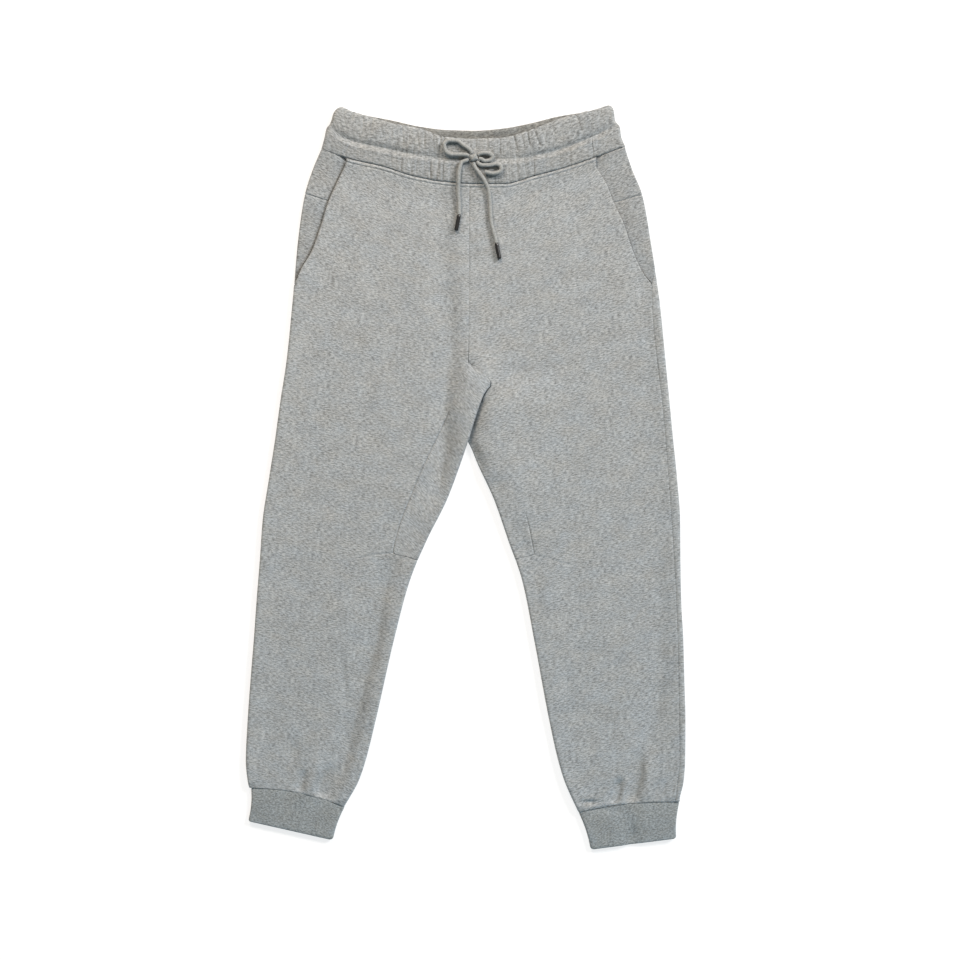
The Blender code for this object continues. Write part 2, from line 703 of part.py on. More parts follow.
def build_fronts(collection):
    for name, leg, seam in (
        ("front_right", RIGHT_LEG, RIGHT_FRONT_SEAM),
        ("front_left", LEFT_LEG, LEFT_FRONT_SEAM),
    ):
        rows = leg.between(0.0, 1.0)
        wall(collection, name, panel(rows, 16, pocket_boundary(leg), front_boundary(seam), leg.top), GREY)


def build_backs(collection):
    """The backs lie flat on the surface. The left one comes round the outer fold to the side seam."""
    for name, leg, centre, columns in (
        ("back_right", RIGHT_LEG, RIGHT_BACK_INNER, 9),
        ("back_left", LEFT_LEG, LEFT_BACK_INNER, 12),
    ):
        def inner(row, leg=leg, centre=centre):
            if row.y1 > centre[-1][0] - 1e-6:
                return -abs(column(centre, 1, row.y1).item() - row.x0)
            return max(thigh_return(leg, row), FOLD_RADIUS + SEAM_GAP) - row.width

        rows = leg.between(0.0, 1.0)
        wall(collection, name, panel(rows, columns, side_boundary(leg), inner, leg.side_top), GREY)


def build_inner_thighs(collection):
    """Panels between the thigh seam and the inseam under the leg, which end at the knee seam."""
    def right_end(row):
        seam = row.crossing(LEFT_FRONT_SEAM)
        to_fold = ramp(row.y1, 0.129, 0.118).item() * (row.width - seam)
        return seam + to_fold + thigh_return(RIGHT_LEG, row)

    def left_end(row):
        return row.width + thigh_return(LEFT_LEG, row)

    for name, leg, seam, end in (
        ("inner_thigh_right", RIGHT_LEG, RIGHT_FRONT_SEAM, right_end),
        ("inner_thigh_left", LEFT_LEG, LEFT_FRONT_SEAM, left_end),
    ):
        levels = (THIGH_TOPS[leg.side], THIGH_END)
        rows = leg.between(*(leg.v_at(y, outer=False) for y in levels))
        wall(collection, name, panel(rows, 9, front_boundary(seam), end, leg.top), GREY)


def build_sides(collection):
    """Yoke and pocket facing of each side. Both run under the pocket edge and round the outer fold."""
    for side, leg in (("right", RIGHT_LEG), ("left", LEFT_LEG)):
        def end(row, leg=leg):
            return pocket_boundary(leg)(row) + POCKET_TUCK * ramp(row.y0, 0.275, 0.310).item()

        v_yoke, v_end = leg.v_at(YOKE_SEAMS[leg.side]), leg.v_at(FACING_ENDS[leg.side])
        for piece, v0, v1 in (("side_yoke_", 0.0, v_yoke), ("pocket_facing_", v_yoke, v_end)):
            points = panel(leg.between(v0, v1), 9, side_boundary(leg), end, leg.side_top)
            wall(collection, piece + side, points, GREY)


def gather(x, channel):
    """Uneven gathers along a channel of the waistband, from -1 to 1."""
    drift = 0.30 * math.tau * np.sin(x / 0.0370 + 2.1 * channel) + 0.9 * channel
    main = np.sin(math.tau * x / GATHER_PITCH + drift)
    return 0.7 * main + 0.3 * np.sin(math.tau * x / (1.73 * GATHER_PITCH) + 1.3 + channel)


def swell(channels):
    """How far the band stands up, from 0 at the top edge, groove and waist seam to 1 along each channel."""
    return math.sin(math.pi * (channels % 1.0)) ** 0.7 if 0 < channels < 2 else 0.0


class Waistband:
    """The waistband as a flattened tube of two channels, read at v across it and a share along it."""

    def __init__(self, top_column):
        self.top_column = top_column

    def place(self, v, share):
        """x and y at v from the top edge (0) to the waist seam (1)."""
        right, left = column(BAND_SIDES, 1, v), column(BAND_SIDES, 2, v)
        share = np.clip(share, 0.0, 1.0)
        top, seam = column(BAND_LENGTHWISE, self.top_column, share), column(BAND_LENGTHWISE, 4, share)
        return right + (left - right) * share, top + (seam - top) * v

    def crest(self, x, y):
        """Height of the gathers' crests at (x, y)."""
        low, high = BAND_SIDES[-1][1:]
        share = (x - low) / (high - low)
        top, seam = column(BAND_LENGTHWISE, self.top_column, share), column(BAND_LENGTHWISE, 4, share)
        groove = column(BAND_LENGTHWISE, 3, share).item()
        v = ((top - y) / (top - seam)).item()
        channels = v / groove if v < groove else 1 + (v - groove) / (1 - groove)
        return BAND_TOP + swell(channels) * (PUFF_HEIGHT + GATHER_HEIGHT)

    def section(self, channels, q, width):
        """Outer and inner points at distances q from the right side, as for a leg. channels runs from 0 at
        the top edge to 1 at the groove and 2 at the waist seam."""
        near_right = q < width / 2
        inside = np.where(near_right, q, width - q)
        edge_share = np.where(near_right, 0.0, 1.0)
        inward = np.where(near_right, 1.0, -1.0)
        share = edge_share + inward * np.abs(inside) / width
        groove = column(BAND_LENGTHWISE, 3, share)
        v = groove * channels if channels < 1 else groove + (1 - groove) * (channels - 1)
        flat_x, y = self.place(v, share)
        edge_x, _ = self.place(v, edge_share)
        angle = 0.5 * math.pi * np.clip(inside / BAND_FOLD_RADIUS, -1.0, 1.0)
        facing_up = (1 + np.sin(angle)) / 2
        gathers = GATHER_HEIGHT * gather(flat_x, math.floor(channels))
        puff = swell(channels) * (PUFF_HEIGHT + gathers) * facing_up
        rounding = math.sqrt(1 - (1 - min(channels / 0.12, 1.0)) ** 2)
        middle, half_wall = (BAND_TOP - BAND) / 2, BAND / 2 * max(rounding, 0.15)
        on_arc = np.abs(inside) < BAND_FOLD_RADIUS
        points = []
        for offset in (half_wall, -half_wall):
            height = middle + offset + (puff * rounding if offset > 0 else 0.0)
            reach = BAND_FOLD_RADIUS - BAND / 2 + offset
            arc_x = edge_x + inward * (BAND_FOLD_RADIUS - reach * np.cos(angle))
            x = np.where(on_arc, arc_x, flat_x)
            points.append(np.stack([x, y, BAND_TOP / 2 + height * np.sin(angle)], axis=-1))
        return points[0], points[1]


FRONT_BAND, BACK_BAND = Waistband(1), Waistband(2)


def build_waistband(collection):
    """The front band wraps round the right side, and the back band comes round the left side onto the
    front. The columns of points are stations along the band."""
    radius = BAND_FOLD_RADIUS
    front_q = np.concatenate([
        [-SIDE_RETURN],
        np.linspace(-radius, radius, 7),
        np.linspace(radius, FRONT_BAND_END, FRONT_STATIONS)[1:],
    ])
    back_q = np.concatenate([
        np.linspace(FRONT_BAND_END + SEAM_GAP, BAND_WIDTH - radius, 12)[:-1],
        np.linspace(BAND_WIDTH - radius, BAND_WIDTH + radius, 7),
        np.linspace(BAND_WIDTH + radius, 2 * BAND_WIDTH - SIDE_RETURN - SEAM_GAP, 26)[1:],
    ])
    for name, band, q in (("waistband_front", FRONT_BAND, front_q), ("waistband_back", BACK_BAND, back_q)):
        across = [band.section(channels, q, BAND_WIDTH) for channels in ACROSS]
        wall(collection, name, across, GREY)


def build_cuffs(collection):
    """Flat tubes of rib, rounded at the hem."""
    for name, leg, corners in (("cuff_right", RIGHT_LEG, RIGHT_CUFF), ("cuff_left", LEFT_LEG, LEFT_CUFF)):
        rows = []
        seam_bow = leg.rows[-1][3]
        for v, pinch in CUFF_SECTIONS:
            (x0, y0), (x1, y1) = (
                tuple(a + (b - a) * v for a, b in zip(corners[edge + " seam"], corners[edge + " hem"]))
                for edge in ("outer", "inner")
            )
            row = Row(leg, x0, y0, x1, y1, 0.0, seam_bow * (1 - v))
            half = row.width / 2
            q = row.spread(-half, row.width + half, 27)[:-1]
            outer, inner = row.section(q, lambda x, y: np.full(np.shape(x), CUFF_TOP), RIB)
            middle = (outer + inner) / 2
            rows.append((middle + (outer - middle) * pinch, middle + (inner - middle) * pinch))
        wall(collection, name, rows, RIB_GREY, closed=True)


def cloth_under(x, y):
    """Height of the cloth that the drawcord lies on."""
    if y > waist_seam(x):
        return FRONT_BAND.crest(x, y)
    return front_top(np.array(x), np.array(y), -1 if x < CENTRE_BACK else 1).item()


def knot_exit(angle):
    """(x, y) just off the knot at an angle, and a point further out along its normal."""
    turn = math.radians(angle)
    out = np.array([math.cos(turn) / KNOT_SIZE[0], math.sin(turn) / KNOT_SIZE[1]])
    out /= np.linalg.norm(out)
    surface = np.array([KNOT[0] + KNOT_SIZE[0] * math.cos(turn), KNOT[1] + KNOT_SIZE[1] * math.sin(turn)])
    return [surface + out * KNOT_GAP, surface + out * 0.0035]


def route(first_angle, second_angle, points):
    """A smooth line from the knot through points laid on the cloth, and each point's distance from the knot
    along it."""
    points = [*knot_exit(first_angle), *(np.array(point) for point in points)]
    if second_angle is not None:
        points += knot_exit(second_angle)[::-1]
    points = np.array(points)
    runs = np.concatenate([[0.0], np.cumsum(np.linalg.norm(np.diff(points, axis=0), axis=1))])
    count = int(runs[-1] / ROUTE_STEP)
    along = np.linspace(0.0, runs[-1], count)
    x, y = smooth(along, runs, points[:, 0]), smooth(along, runs, points[:, 1])
    z = np.array([cloth_under(a, b) for a, b in zip(x, y)]) + CORD_LIFT
    reach = int(CORD_EASE / ROUTE_STEP)
    padded = np.pad(z, reach, mode="edge")
    z = np.array([padded[i:i + 2 * reach + 1].max() for i in range(count)])
    padded = np.pad(z, reach, mode="edge")
    z = np.array([padded[i:i + 2 * reach + 1].mean() for i in range(count)]) + CORD_RADIUS
    from_knot = along if second_angle is None else np.minimum(along, runs[-1] - along)
    z = KNOT_HEIGHT + (z - KNOT_HEIGHT) * ramp(from_knot, 0.003, 0.012)
    return np.stack([x, y, z], axis=-1), from_knot


def cord(collection, name, points, thickness, radius, colour, roughness):
    """A round cord along points, with a share of its thickness at each."""
    curve = bpy.data.curves.new(name, "CURVE")
    curve.dimensions = "3D"
    spline = curve.splines.new("POLY")
    spline.points.add(len(points) - 1)
    for point, place, share in zip(spline.points, points, thickness):
        point.co = (*place, 1.0)
        point.radius = share
    curve.bevel_depth = radius
    curve.bevel_resolution = 2
    curve.use_fill_caps = True
    return add_object(collection, name, curve, colour, roughness)


def build_drawcord(collection):
    """The knot, three bow loops, two free ends and their tips."""
    bpy.ops.mesh.primitive_uv_sphere_add(segments=16, ring_count=10, radius=1.0)
    knot = bpy.context.object
    knot.name = "cord_knot"
    for vertex in knot.data.vertices:
        vertex.co = [a * b for a, b in zip(vertex.co, KNOT_SIZE)]
    knot.location = (*KNOT, KNOT_HEIGHT)
    knot.data.materials.append(material("cord_knot", CORD_GREY, 0.9))
    knot.data.shade_smooth()
    for held in list(knot.users_collection):
        held.objects.unlink(knot)
    collection.objects.link(knot)
    for name, tip, first_angle, second_angle, points in CORDS:
        line, from_knot = route(first_angle, second_angle, points)
        end = len(line) - 1
        if tip is not None:
            end -= round(TIP_LENGTH / ROUTE_STEP)
            aim = (line[-1] - line[end]) / np.linalg.norm(line[-1] - line[end])
            tip_line = [line[end] + aim * TIP_GAP, line[end] + aim * TIP_LENGTH]
            cord(collection, tip, tip_line, (1.0, 1.0), TIP_RADIUS, BLACK, 0.35)
        picks = np.linspace(0, end, 2 + round(end * ROUTE_STEP / POINT_SPACING)).astype(int)
        squeezed = SQUEEZE + (1 - SQUEEZE) * ramp(from_knot[picks], 0.0, 0.005)
        cord(collection, name, line[picks], squeezed, CORD_RADIUS, CORD_GREY, 0.9)


def main():
    for item in list(bpy.data.objects):
        bpy.data.objects.remove(item, do_unlink=True)
    collection = bpy.data.collections.new("jogger_sweatpants")
    bpy.context.scene.collection.children.link(collection)
    build_fronts(collection)
    build_backs(collection)
    build_inner_thighs(collection)
    build_sides(collection)
    build_waistband(collection)
    build_cuffs(collection)
    build_drawcord(collection)


main()
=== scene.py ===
"""The looks of the jogger sweatpants: thin cloth, seams, gathers, the tied cord, floor, light and camera.

Every piece of cloth is a thin shell on its solid's form. The tables and the forms repeat those of the part.
"""

import math

import bmesh
import bpy
import numpy as np
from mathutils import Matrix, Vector


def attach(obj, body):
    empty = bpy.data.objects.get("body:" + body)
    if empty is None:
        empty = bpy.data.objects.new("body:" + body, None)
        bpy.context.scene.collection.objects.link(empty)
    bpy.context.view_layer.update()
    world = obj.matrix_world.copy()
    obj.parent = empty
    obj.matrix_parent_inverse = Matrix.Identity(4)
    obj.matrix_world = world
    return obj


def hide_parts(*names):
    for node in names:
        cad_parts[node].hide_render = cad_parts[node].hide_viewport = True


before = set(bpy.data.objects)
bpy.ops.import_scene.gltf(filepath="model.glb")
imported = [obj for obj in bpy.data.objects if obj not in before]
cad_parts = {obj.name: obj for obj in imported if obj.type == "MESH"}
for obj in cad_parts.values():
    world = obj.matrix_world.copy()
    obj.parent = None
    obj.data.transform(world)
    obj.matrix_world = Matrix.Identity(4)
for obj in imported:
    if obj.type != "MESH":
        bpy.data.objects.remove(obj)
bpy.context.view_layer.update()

# Cloth
RIB = 0.0030  # wall of a cuff, rib folded double
BAND = 0.0044  # wall of the waistband, cloth folded over elastic
SHELL = 0.0016  # wall of the shell on a leg's solid
SEAM_GAP = 0.0003  # clearance between neighbouring solids
GAP = 0.00008  # between neighbouring shells
SEAM_REACH = 0.0011  # how far from a seam the cloth turns down into it
LEG_LENGTH = 0.900
ROW_PITCH, COLUMN_PITCH, FINE_PITCH = 0.0042, 0.0027, 0.0008  # of a leg's points, and of both near a seam

# Heights above the surface
BODY_TOP = 0.0056  # top of the front where both layers lie flat
EDGE_TOP = 0.0070  # top of a side piece beside the leg's folded edge
CUFF_TOP = 0.0078
BAND_TOP = 0.0096
FACING_TOP = 0.0045  # side pieces where they pass under the pocket edge
LIFT = 0.0016  # soft cloth stands a little above its solid, so that its troughs can be deeper
THINNEST = 0.0039  # lowest top: the back, the front's shell and the air between
HIGHEST_TOP = 0.0111  # of the front, but for the right leg's climb and the left thigh's swelling
EDGE_RISE = 0.0026  # how far a leg's edge stands up
EDGE_REACH = 0.0200  # how far from its fold it does so
CALF_REACH = 0.0150  # the same at the right calf's inner edge, which stands up twice as far
WAIST_RISE = 0.0020  # of the front beside the waist seam
WAIST_REACH = 0.0140
ANKLE_RISE = 0.0012  # of the legs towards the cuffs
CROTCH = (0.0160, 0.1430)  # middle of the swelling over the crotch
CROTCH_RISE = 0.0012
CROTCH_REACH = 0.0300
POCKET_RISE = 0.0019  # of the pocket's edge over the pieces tucked under it
POCKET_REACH = 0.0180
CUFF_SEAM_REACH = 0.0055  # over which a leg's top comes to the height of its cuff
FOLD_RADIUS = 0.0035  # of a leg's folded edge, seen from above
BAND_FOLD_RADIUS = 0.0050
SIDE_RETURN = 0.0100  # how far a piece wraps under a folded edge
INSEAM_RETURN = 0.0140
POCKET_TUCK = 0.0080  # how far the side pieces run under the pocket edge

# Drawcord
CORD_RADIUS = 0.0025
SOFT_CORD_RADIUS = 0.0028  # of the braid, with its nap
TIP_RADIUS = 0.0028
TIP_LENGTH = 0.0230
ROUTE_STEP = 0.00025  # between the points that its route is worked out at
CORD_EASE = 0.0040  # half of the length over which a cord bridges the cloth's hollows
CORD_LIFT = 0.0008  # between the cord and the crests of the cloth under it
TIP_GAP = 0.0009  # between the end of the cord and its tip
KNOT = (0.0115, 0.4450)
KNOT_SIZE = (0.0070, 0.0060, 0.0048)
KNOT_HEIGHT = BAND_TOP + KNOT_SIZE[2] + 0.0006
KNOT_GAP = 0.0004
SQUEEZE = 0.75  # share of its thickness that the cord keeps where it enters the knot

# Light
WORLD_STRENGTH = 0.31
FLOOR_GLOW = 0.715  # a lit white surface, as in a light tent
LIGHTS = (
    # name, place, size, watts, colour
    ("key", (4.0, 3.05, 3.27), 2.2, 384.0, (1.012, 0.998, 1.004)),
    ("top", (-0.8, 2.2, 1.9), 1.5, 58.0, (1.157, 0.993, 0.843)),
    ("foot", (0.4, -1.7, 1.6), 1.2, 5.0, (0.0, 1.0, 1.8)),
)

# Outer edges of the two legs, from the waist seam to the cuff seam.
OUTER_EDGES = (
    # y, right leg x, left leg x
    (0.458, -0.2015, 0.2235), (0.43, -0.2135, 0.233), (0.395, -0.2245, 0.247), (0.332, -0.234, 0.2585),
    (0.248, -0.2415, 0.271), (0.164, -0.25, 0.2795), (0.108, -0.2585, 0.285), (0.0505, -0.2665, 0.2905),
    (-0.004, -0.275, 0.296), (-0.06, -0.2835, 0.3), (-0.116, -0.2875, 0.3005), (-0.172, -0.292, 0.3015),
    (-0.228, -0.296, 0.3045), (-0.284, -0.3005, 0.306), (-0.34, -0.3045, 0.3075), (-0.396, -0.307, 0.307),
    (-0.424, -0.3045, 0.305), (-0.448, -0.298, 0.2995),
)
# Inner edge of the right leg. Above the crotch it is the fold that lies over the left thigh.
RIGHT_INNER = (
    # y, x
    (0.143, 0.044), (0.136, 0.0405), (0.128, 0.036), (0.118, 0.0275), (0.106, 0.022), (0.0845, 0.0145),
    (0.05, 0.0038), (0.024, -0.005), (-0.032, -0.026), (-0.088, -0.054), (-0.144, -0.0775), (-0.228, -0.1),
    (-0.34, -0.1255), (-0.396, -0.1395), (-0.424, -0.149), (-0.46, -0.169),
)
# Inner edge of the left leg. Above the crotch it is only the line that its tucked end is set out from.
LEFT_INNER = (
    # y, x
    (0.115, -0.0145), (0.105, 0.0005), (0.073, 0.0035), (0.0505, 0.003), (0.0462, 0.005), (0.0434, 0.0065),
    (0.0378, 0.0092), (0.024, 0.0145), (-0.032, 0.04), (-0.088, 0.0595), (-0.144, 0.079), (-0.228, 0.096),
    (-0.34, 0.117), (-0.396, 0.1295), (-0.424, 0.138), (-0.469, 0.158),
)
# The waistband from its right side to its left side.
BAND_LENGTHWISE = (
    # share, front top y, back top y, groove between channels, waist seam y
    (0.0, 0.5175, 0.5175, 0.42, 0.458), (0.05, 0.511, 0.5105, 0.56, 0.45),
    (0.1, 0.5055, 0.506, 0.6, 0.443), (0.2, 0.4945, 0.4985, 0.58, 0.4335), (0.3, 0.487, 0.49, 0.54, 0.42),
    (0.4, 0.475, 0.4855, 0.47, 0.4125), (0.5, 0.473, 0.4845, 0.44, 0.409),
    (0.6, 0.4745, 0.4875, 0.46, 0.409), (0.7, 0.485, 0.4945, 0.57, 0.42),
    (0.8, 0.4995, 0.504, 0.61, 0.4315), (0.9, 0.5105, 0.5105, 0.56, 0.446),
    (1.0, 0.5195, 0.5195, 0.45, 0.4615),
)
# The waistband's two folded sides, from its top edge to the waist seam.
BAND_SIDES = (
    # share, right x, left x
    (0.0, -0.1785, 0.205), (0.15, -0.1845, 0.2075), (0.36, -0.1885, 0.209), (0.5, -0.194, 0.2155),
    (0.75, -0.1975, 0.2175), (1.0, -0.2015, 0.2235),
)
SEAM_RIGHT, SEAM_LEFT = BAND_SIDES[-1][1:]  # x of the waist seam's two ends

# Rows across a leg: where each meets the outer and the inner edge, how much of the waist seam's curve it
# keeps, and how far its middle bows towards the waist. The legs share those in the middle.
MIDDLE_ROWS = ((0.27, 0.26, 0.1, 0.0), *((y / 10, y / 10, 0.0, 0.0) for y in (2, 1, 0, -1, -2)))
RIGHT_ROWS = (
    # y outer, y inner, waist share, bow
    (0.458, 0.409, 1.0, 0.0), (0.396, 0.352, 0.9, 0.0), (0.335, 0.305, 0.5, 0.0), *MIDDLE_ROWS,
    (-0.3, -0.305, 0.0, 0.001), (-0.38, -0.395, 0.0, 0.003), (-0.434, -0.46, 0.0, 0.0065),
)
LEFT_ROWS = (
    # y outer, y inner, waist share, bow
    (0.4615, 0.409, 1.0, 0.0), (0.395, 0.35, 0.9, 0.0), (0.335, 0.305, 0.5, 0.0), *MIDDLE_ROWS,
    (-0.3, -0.302, 0.0, 0.001), (-0.4, -0.406, 0.0, 0.002), (-0.4535, -0.468, 0.0, 0.0045),
)

# Seams on the front: the centre seam, the inner thigh seam, then the knee seam out to the inner edge.
RIGHT_FRONT_SEAM = (
    # y, x
    (0.409, 0.0055), (0.29, 0.005), (0.161, 0.004), (0.1455, -0.004), (0.115, -0.0145), (0.0785, -0.0285),
    (0.046, -0.044), (0.007, -0.0625), (-0.0335, -0.079), (-0.07, -0.093), (-0.1065, -0.101),
    (-0.111, -0.084), (-0.118, -0.06),
)
LEFT_FRONT_SEAM = (
    # y, x
    (0.409, 0.0055), (0.29, 0.005), (0.161, 0.0045), (0.15, 0.0215), (0.129, 0.0365), (0.118, 0.029),
    (0.106, 0.0235), (0.08, 0.033), (0.0505, 0.0455), (0.0295, 0.0545), (-0.011, 0.0695), (-0.059, 0.086),
    (-0.0925, 0.093), (-0.108, 0.0955), (-0.1125, 0.079), (-0.118, 0.062),
)
RIGHT_POCKET_EDGE = (
    # y, x
    (0.439, -0.166), (0.385, -0.191), (0.3485, -0.2025), (0.3135, -0.2155), (0.291, -0.229),
    (0.2715, -0.2375), (0.26, -0.245),
)
LEFT_POCKET_EDGE = (
    # y, x
    (0.4325, 0.1825), (0.41, 0.1965), (0.381, 0.208), (0.3515, 0.222), (0.3295, 0.229), (0.2865, 0.247),
    (0.269, 0.26),
)
# The left side seam lies on the front below the pocket.
LEFT_SIDE_SEAM = (
    # y, x
    (0.269, 0.26), (0.2325, 0.261), (0.1905, 0.2645), (0.091, 0.276), (-0.021, 0.285), (-0.154, 0.2935),
    (-0.25, 0.297), (-0.388, 0.299), (-0.45, 0.2935),
)
# Where the side pieces begin and end, by y at the outer edge.
YOKE_SEAMS = {-1: 0.3960, 1: 0.3950}
FACING_ENDS = {-1: 0.2530, 1: 0.2720}
# Where each inner thigh panel begins and ends, by y at the inner edge.
THIGH_TOPS = {-1: 0.1600, 1: 0.1050}
THIGH_END = -0.1370
KNEE = -0.1150
THIGH_SEAM_STARTS = {-1: (0.100, 0.080), 1: (-0.050, -0.062)}  # y between which the thigh seam fades in

# How far a piece's edge has turned past the fold of a leg, where it passes from the front to the underside.
POCKET_WRAP = (
    # y, distance past the fold
    (0.27, 0.0), (0.25, SIDE_RETURN),
)
KNEE_WRAP = (
    # y, distance past the fold
    (-0.1175, 0.0), (-0.138, INSEAM_RETURN),
)
RIGHT_THIGH_WRAP = (
    # y, distance past the fold; above the crotch this is the turn under the overlapping fold
    (0.129, 0.0), (0.118, 0.0035), (0.105, 0.008), (0.06, 0.008), (0.002, INSEAM_RETURN),
)
LEFT_THIGH_END = (
    # y, distance inside the fold; negative once the panel has turned under it
    (0.105, 0.009), (0.0815, 0.008), (0.072, 0.0045), (0.063, 0.001), (0.056, -0.0015),
    (0.0505, -FOLD_RADIUS), (0.002, -INSEAM_RETURN),
)
CENTRE_BACK = 0.0055  # x of the centre back seam
RIGHT_BACK_INNER = (
    # y, x
    (0.409, CENTRE_BACK), (0.076, CENTRE_BACK), (0.059, -0.002), (0.0505, -0.0052),
)
LEFT_BACK_INNER = (
    # y, x
    (0.409, CENTRE_BACK), (0.068, CENTRE_BACK), (0.059, 0.0075), (0.0505, 0.0095),
)
# Height of the underside of the right leg's inner fold, where it climbs over the left thigh.
FLAP_FLOOR = (
    # y, z
    (0.13, 0.0024), (0.114, 0.0049), (0.074, 0.0049), (0.062, 0.0024), (0.0505, 0.0024), (0.043, 0.0),
)
# Soft folds of the front that run along a leg: a trough has a negative height.
FOLDS = (
    # half widths on the left and the right, points along the fold (y, x, height)
    (0.016, 0.01, (
        (0.4578, -0.0399, 0.0), (0.4438, -0.0399, -0.0012), (0.3878, -0.0343, -0.0018),
        (0.2898, -0.0287, -0.002), (0.2058, -0.0217, -0.0024), (0.1694, -0.0203, -0.0028),
        (0.1246, -0.0231, -0.0032), (0.0924, -0.0273, -0.0034), (0.0518, -0.0273, -0.0034),
        (0.0098, -0.0343, -0.003), (-0.0322, -0.0441, -0.001), (-0.0532, -0.0469, 0.0),
    )),
    (0.01, 0.01, (
        (0.3878, -0.0077, 0.0), (0.3038, -0.0049, 0.0018), (0.2198, -0.0035, 0.0018),
        (0.1848, -0.0035, 0.0),
    )),
    (0.011, 0.011, (
        (0.4018, 0.0185, 0.0), (0.392, 0.0189, 0.001), (0.3458, 0.0203, 0.0014), (0.3108, 0.0203, 0.0),
    )),
    (0.02, 0.0088, (
        (-0.0952, -0.0925, 0.0), (-0.1372, -0.106, -0.003), (-0.1792, -0.119, -0.004),
        (-0.2282, -0.1252, -0.0042), (-0.2674, -0.1378, -0.0042), (-0.3122, -0.149, -0.004),
        (-0.3542, -0.1605, -0.004), (-0.385, -0.166, -0.0038), (-0.4102, -0.174, -0.0024),
        (-0.434, -0.184, -0.0006), (-0.45, -0.19, 0.0),
    )),
    (0.01, 0.02, (
        (-0.399, -0.188, 0.0), (-0.413, -0.193, -0.003), (-0.4256, -0.199, -0.0044),
        (-0.44, -0.203, -0.0044), (-0.456, -0.206, -0.0036),
    )),
    (0.0055, 0.0035, (
        (-0.2422, -0.1729, 0.0), (-0.273, -0.1701, -0.0018), (-0.3122, -0.1659, -0.002),
        (-0.343, -0.1603, -0.001), (-0.3612, -0.1575, 0.0),
    )),
    (0.0075, 0.007, (
        (-0.364, -0.1995, 0.0), (-0.39, -0.205, 0.0014), (-0.413, -0.2095, 0.0026),
        (-0.428, -0.214, 0.0034), (-0.4438, -0.218, 0.0028),
    )),
    (0.0065, 0.0048, (
        (-0.4074, -0.2247, 0.0), (-0.4214, -0.2275, -0.0034), (-0.4382, -0.2317, -0.0034),
        (-0.4438, -0.2331, -0.002),
    )),
    (0.008, 0.008, ((-0.3612, -0.2345, 0.0), (-0.385, -0.2394, -0.002), (-0.4102, -0.2443, 0.0))),
    (0.014, 0.012, (
        (-0.2702, 0.2625, 0.0), (-0.3192, 0.2625, -0.0022), (-0.3612, 0.2583, -0.0024),
        (-0.385, 0.254, -0.0014), (-0.406, 0.25, 0.0),
    )),
    (0.012, 0.007, (
        (-0.378, 0.245, 0.0), (-0.396, 0.243, -0.0034), (-0.413, 0.242, -0.0054),
        (-0.4256, 0.2395, -0.0056), (-0.44, 0.235, -0.0056), (-0.4564, 0.231, -0.004),
    )),
    (0.006, 0.011, (
        (-0.378, 0.259, 0.0), (-0.413, 0.254, 0.0022), (-0.44, 0.25, 0.0024), (-0.4564, 0.247, 0.0016),
    )),
    (0.0085, 0.0055, ((-0.4186, 0.218, 0.0), (-0.4326, 0.214, -0.0052), (-0.4578, 0.2075, -0.006))),
    (0.005, 0.007, ((-0.4186, 0.227, 0.0), (-0.434, 0.2235, 0.0024), (-0.4578, 0.219, 0.0024))),
    (0.003, 0.0025, ((-0.4242, 0.2688, 0.0), (-0.4354, 0.2667, -0.0014), (-0.448, 0.2639, 0.0))),
    (0.003, 0.0025, ((-0.4228, 0.2793, 0.0), (-0.434, 0.2772, -0.0014), (-0.448, 0.2751, 0.0))),
    (0.003, 0.0025, ((-0.4256, 0.2905, 0.0), (-0.4354, 0.2891, -0.0014), (-0.448, 0.2877, 0.0))),
    (0.012, 0.03, (
        (-0.02, 0.062, 0.0), (-0.06, 0.083, 0.0014), (-0.11, 0.108, 0.0018), (-0.2, 0.116, 0.0022),
        (-0.3, 0.121, 0.0016), (-0.36, 0.126, 0.0),
    )),
    (0.035, 0.015, (
        (0.42, 0.215, 0.0), (0.36, 0.222, 0.002), (0.3, 0.226, 0.0022), (0.22, 0.236, 0.0018),
        (0.15, 0.245, 0.0),
    )),
    (0.012, 0.012, (
        (-0.1022, 0.2709, 0.0), (-0.1722, 0.2709, -0.002), (-0.2982, 0.2709, -0.002),
        (-0.3612, 0.2695, 0.0),
    )),
)
# The short crease where the flap leaves the centre seam, written in the same way.
FLAP_FOLD = (0.0065, 0.0068, (
    (0.167, 0.007, 0.0), (0.1605, 0.0085, -0.0022), (0.1547, 0.0098, -0.0031), (0.149, 0.0125, -0.002),
    (0.1425, 0.016, 0.0),
))
# Short dents of the front.
DENTS = (
    # x, y, half widths in x and y, height
    (-0.1967, -0.4354, 0.0085, 0.0105, -0.0018), (0.1729, -0.4543, 0.011, 0.0035, -0.0034),
    (0.0441, -0.0098, 0.013, 0.011, -0.0014), (0.0777, -0.1008, 0.01, 0.014, -0.0014),
)
# Bottom of the trough where the right front climbs onto its inner thigh and over the left leg.
INNER_TROUGH = (
    # y, x
    (0.217, -0.0215), (0.17, -0.0225), (0.125, -0.027), (0.092, -0.031), (0.042, -0.029), (0.01, -0.035),
    (-0.05, -0.043),
)
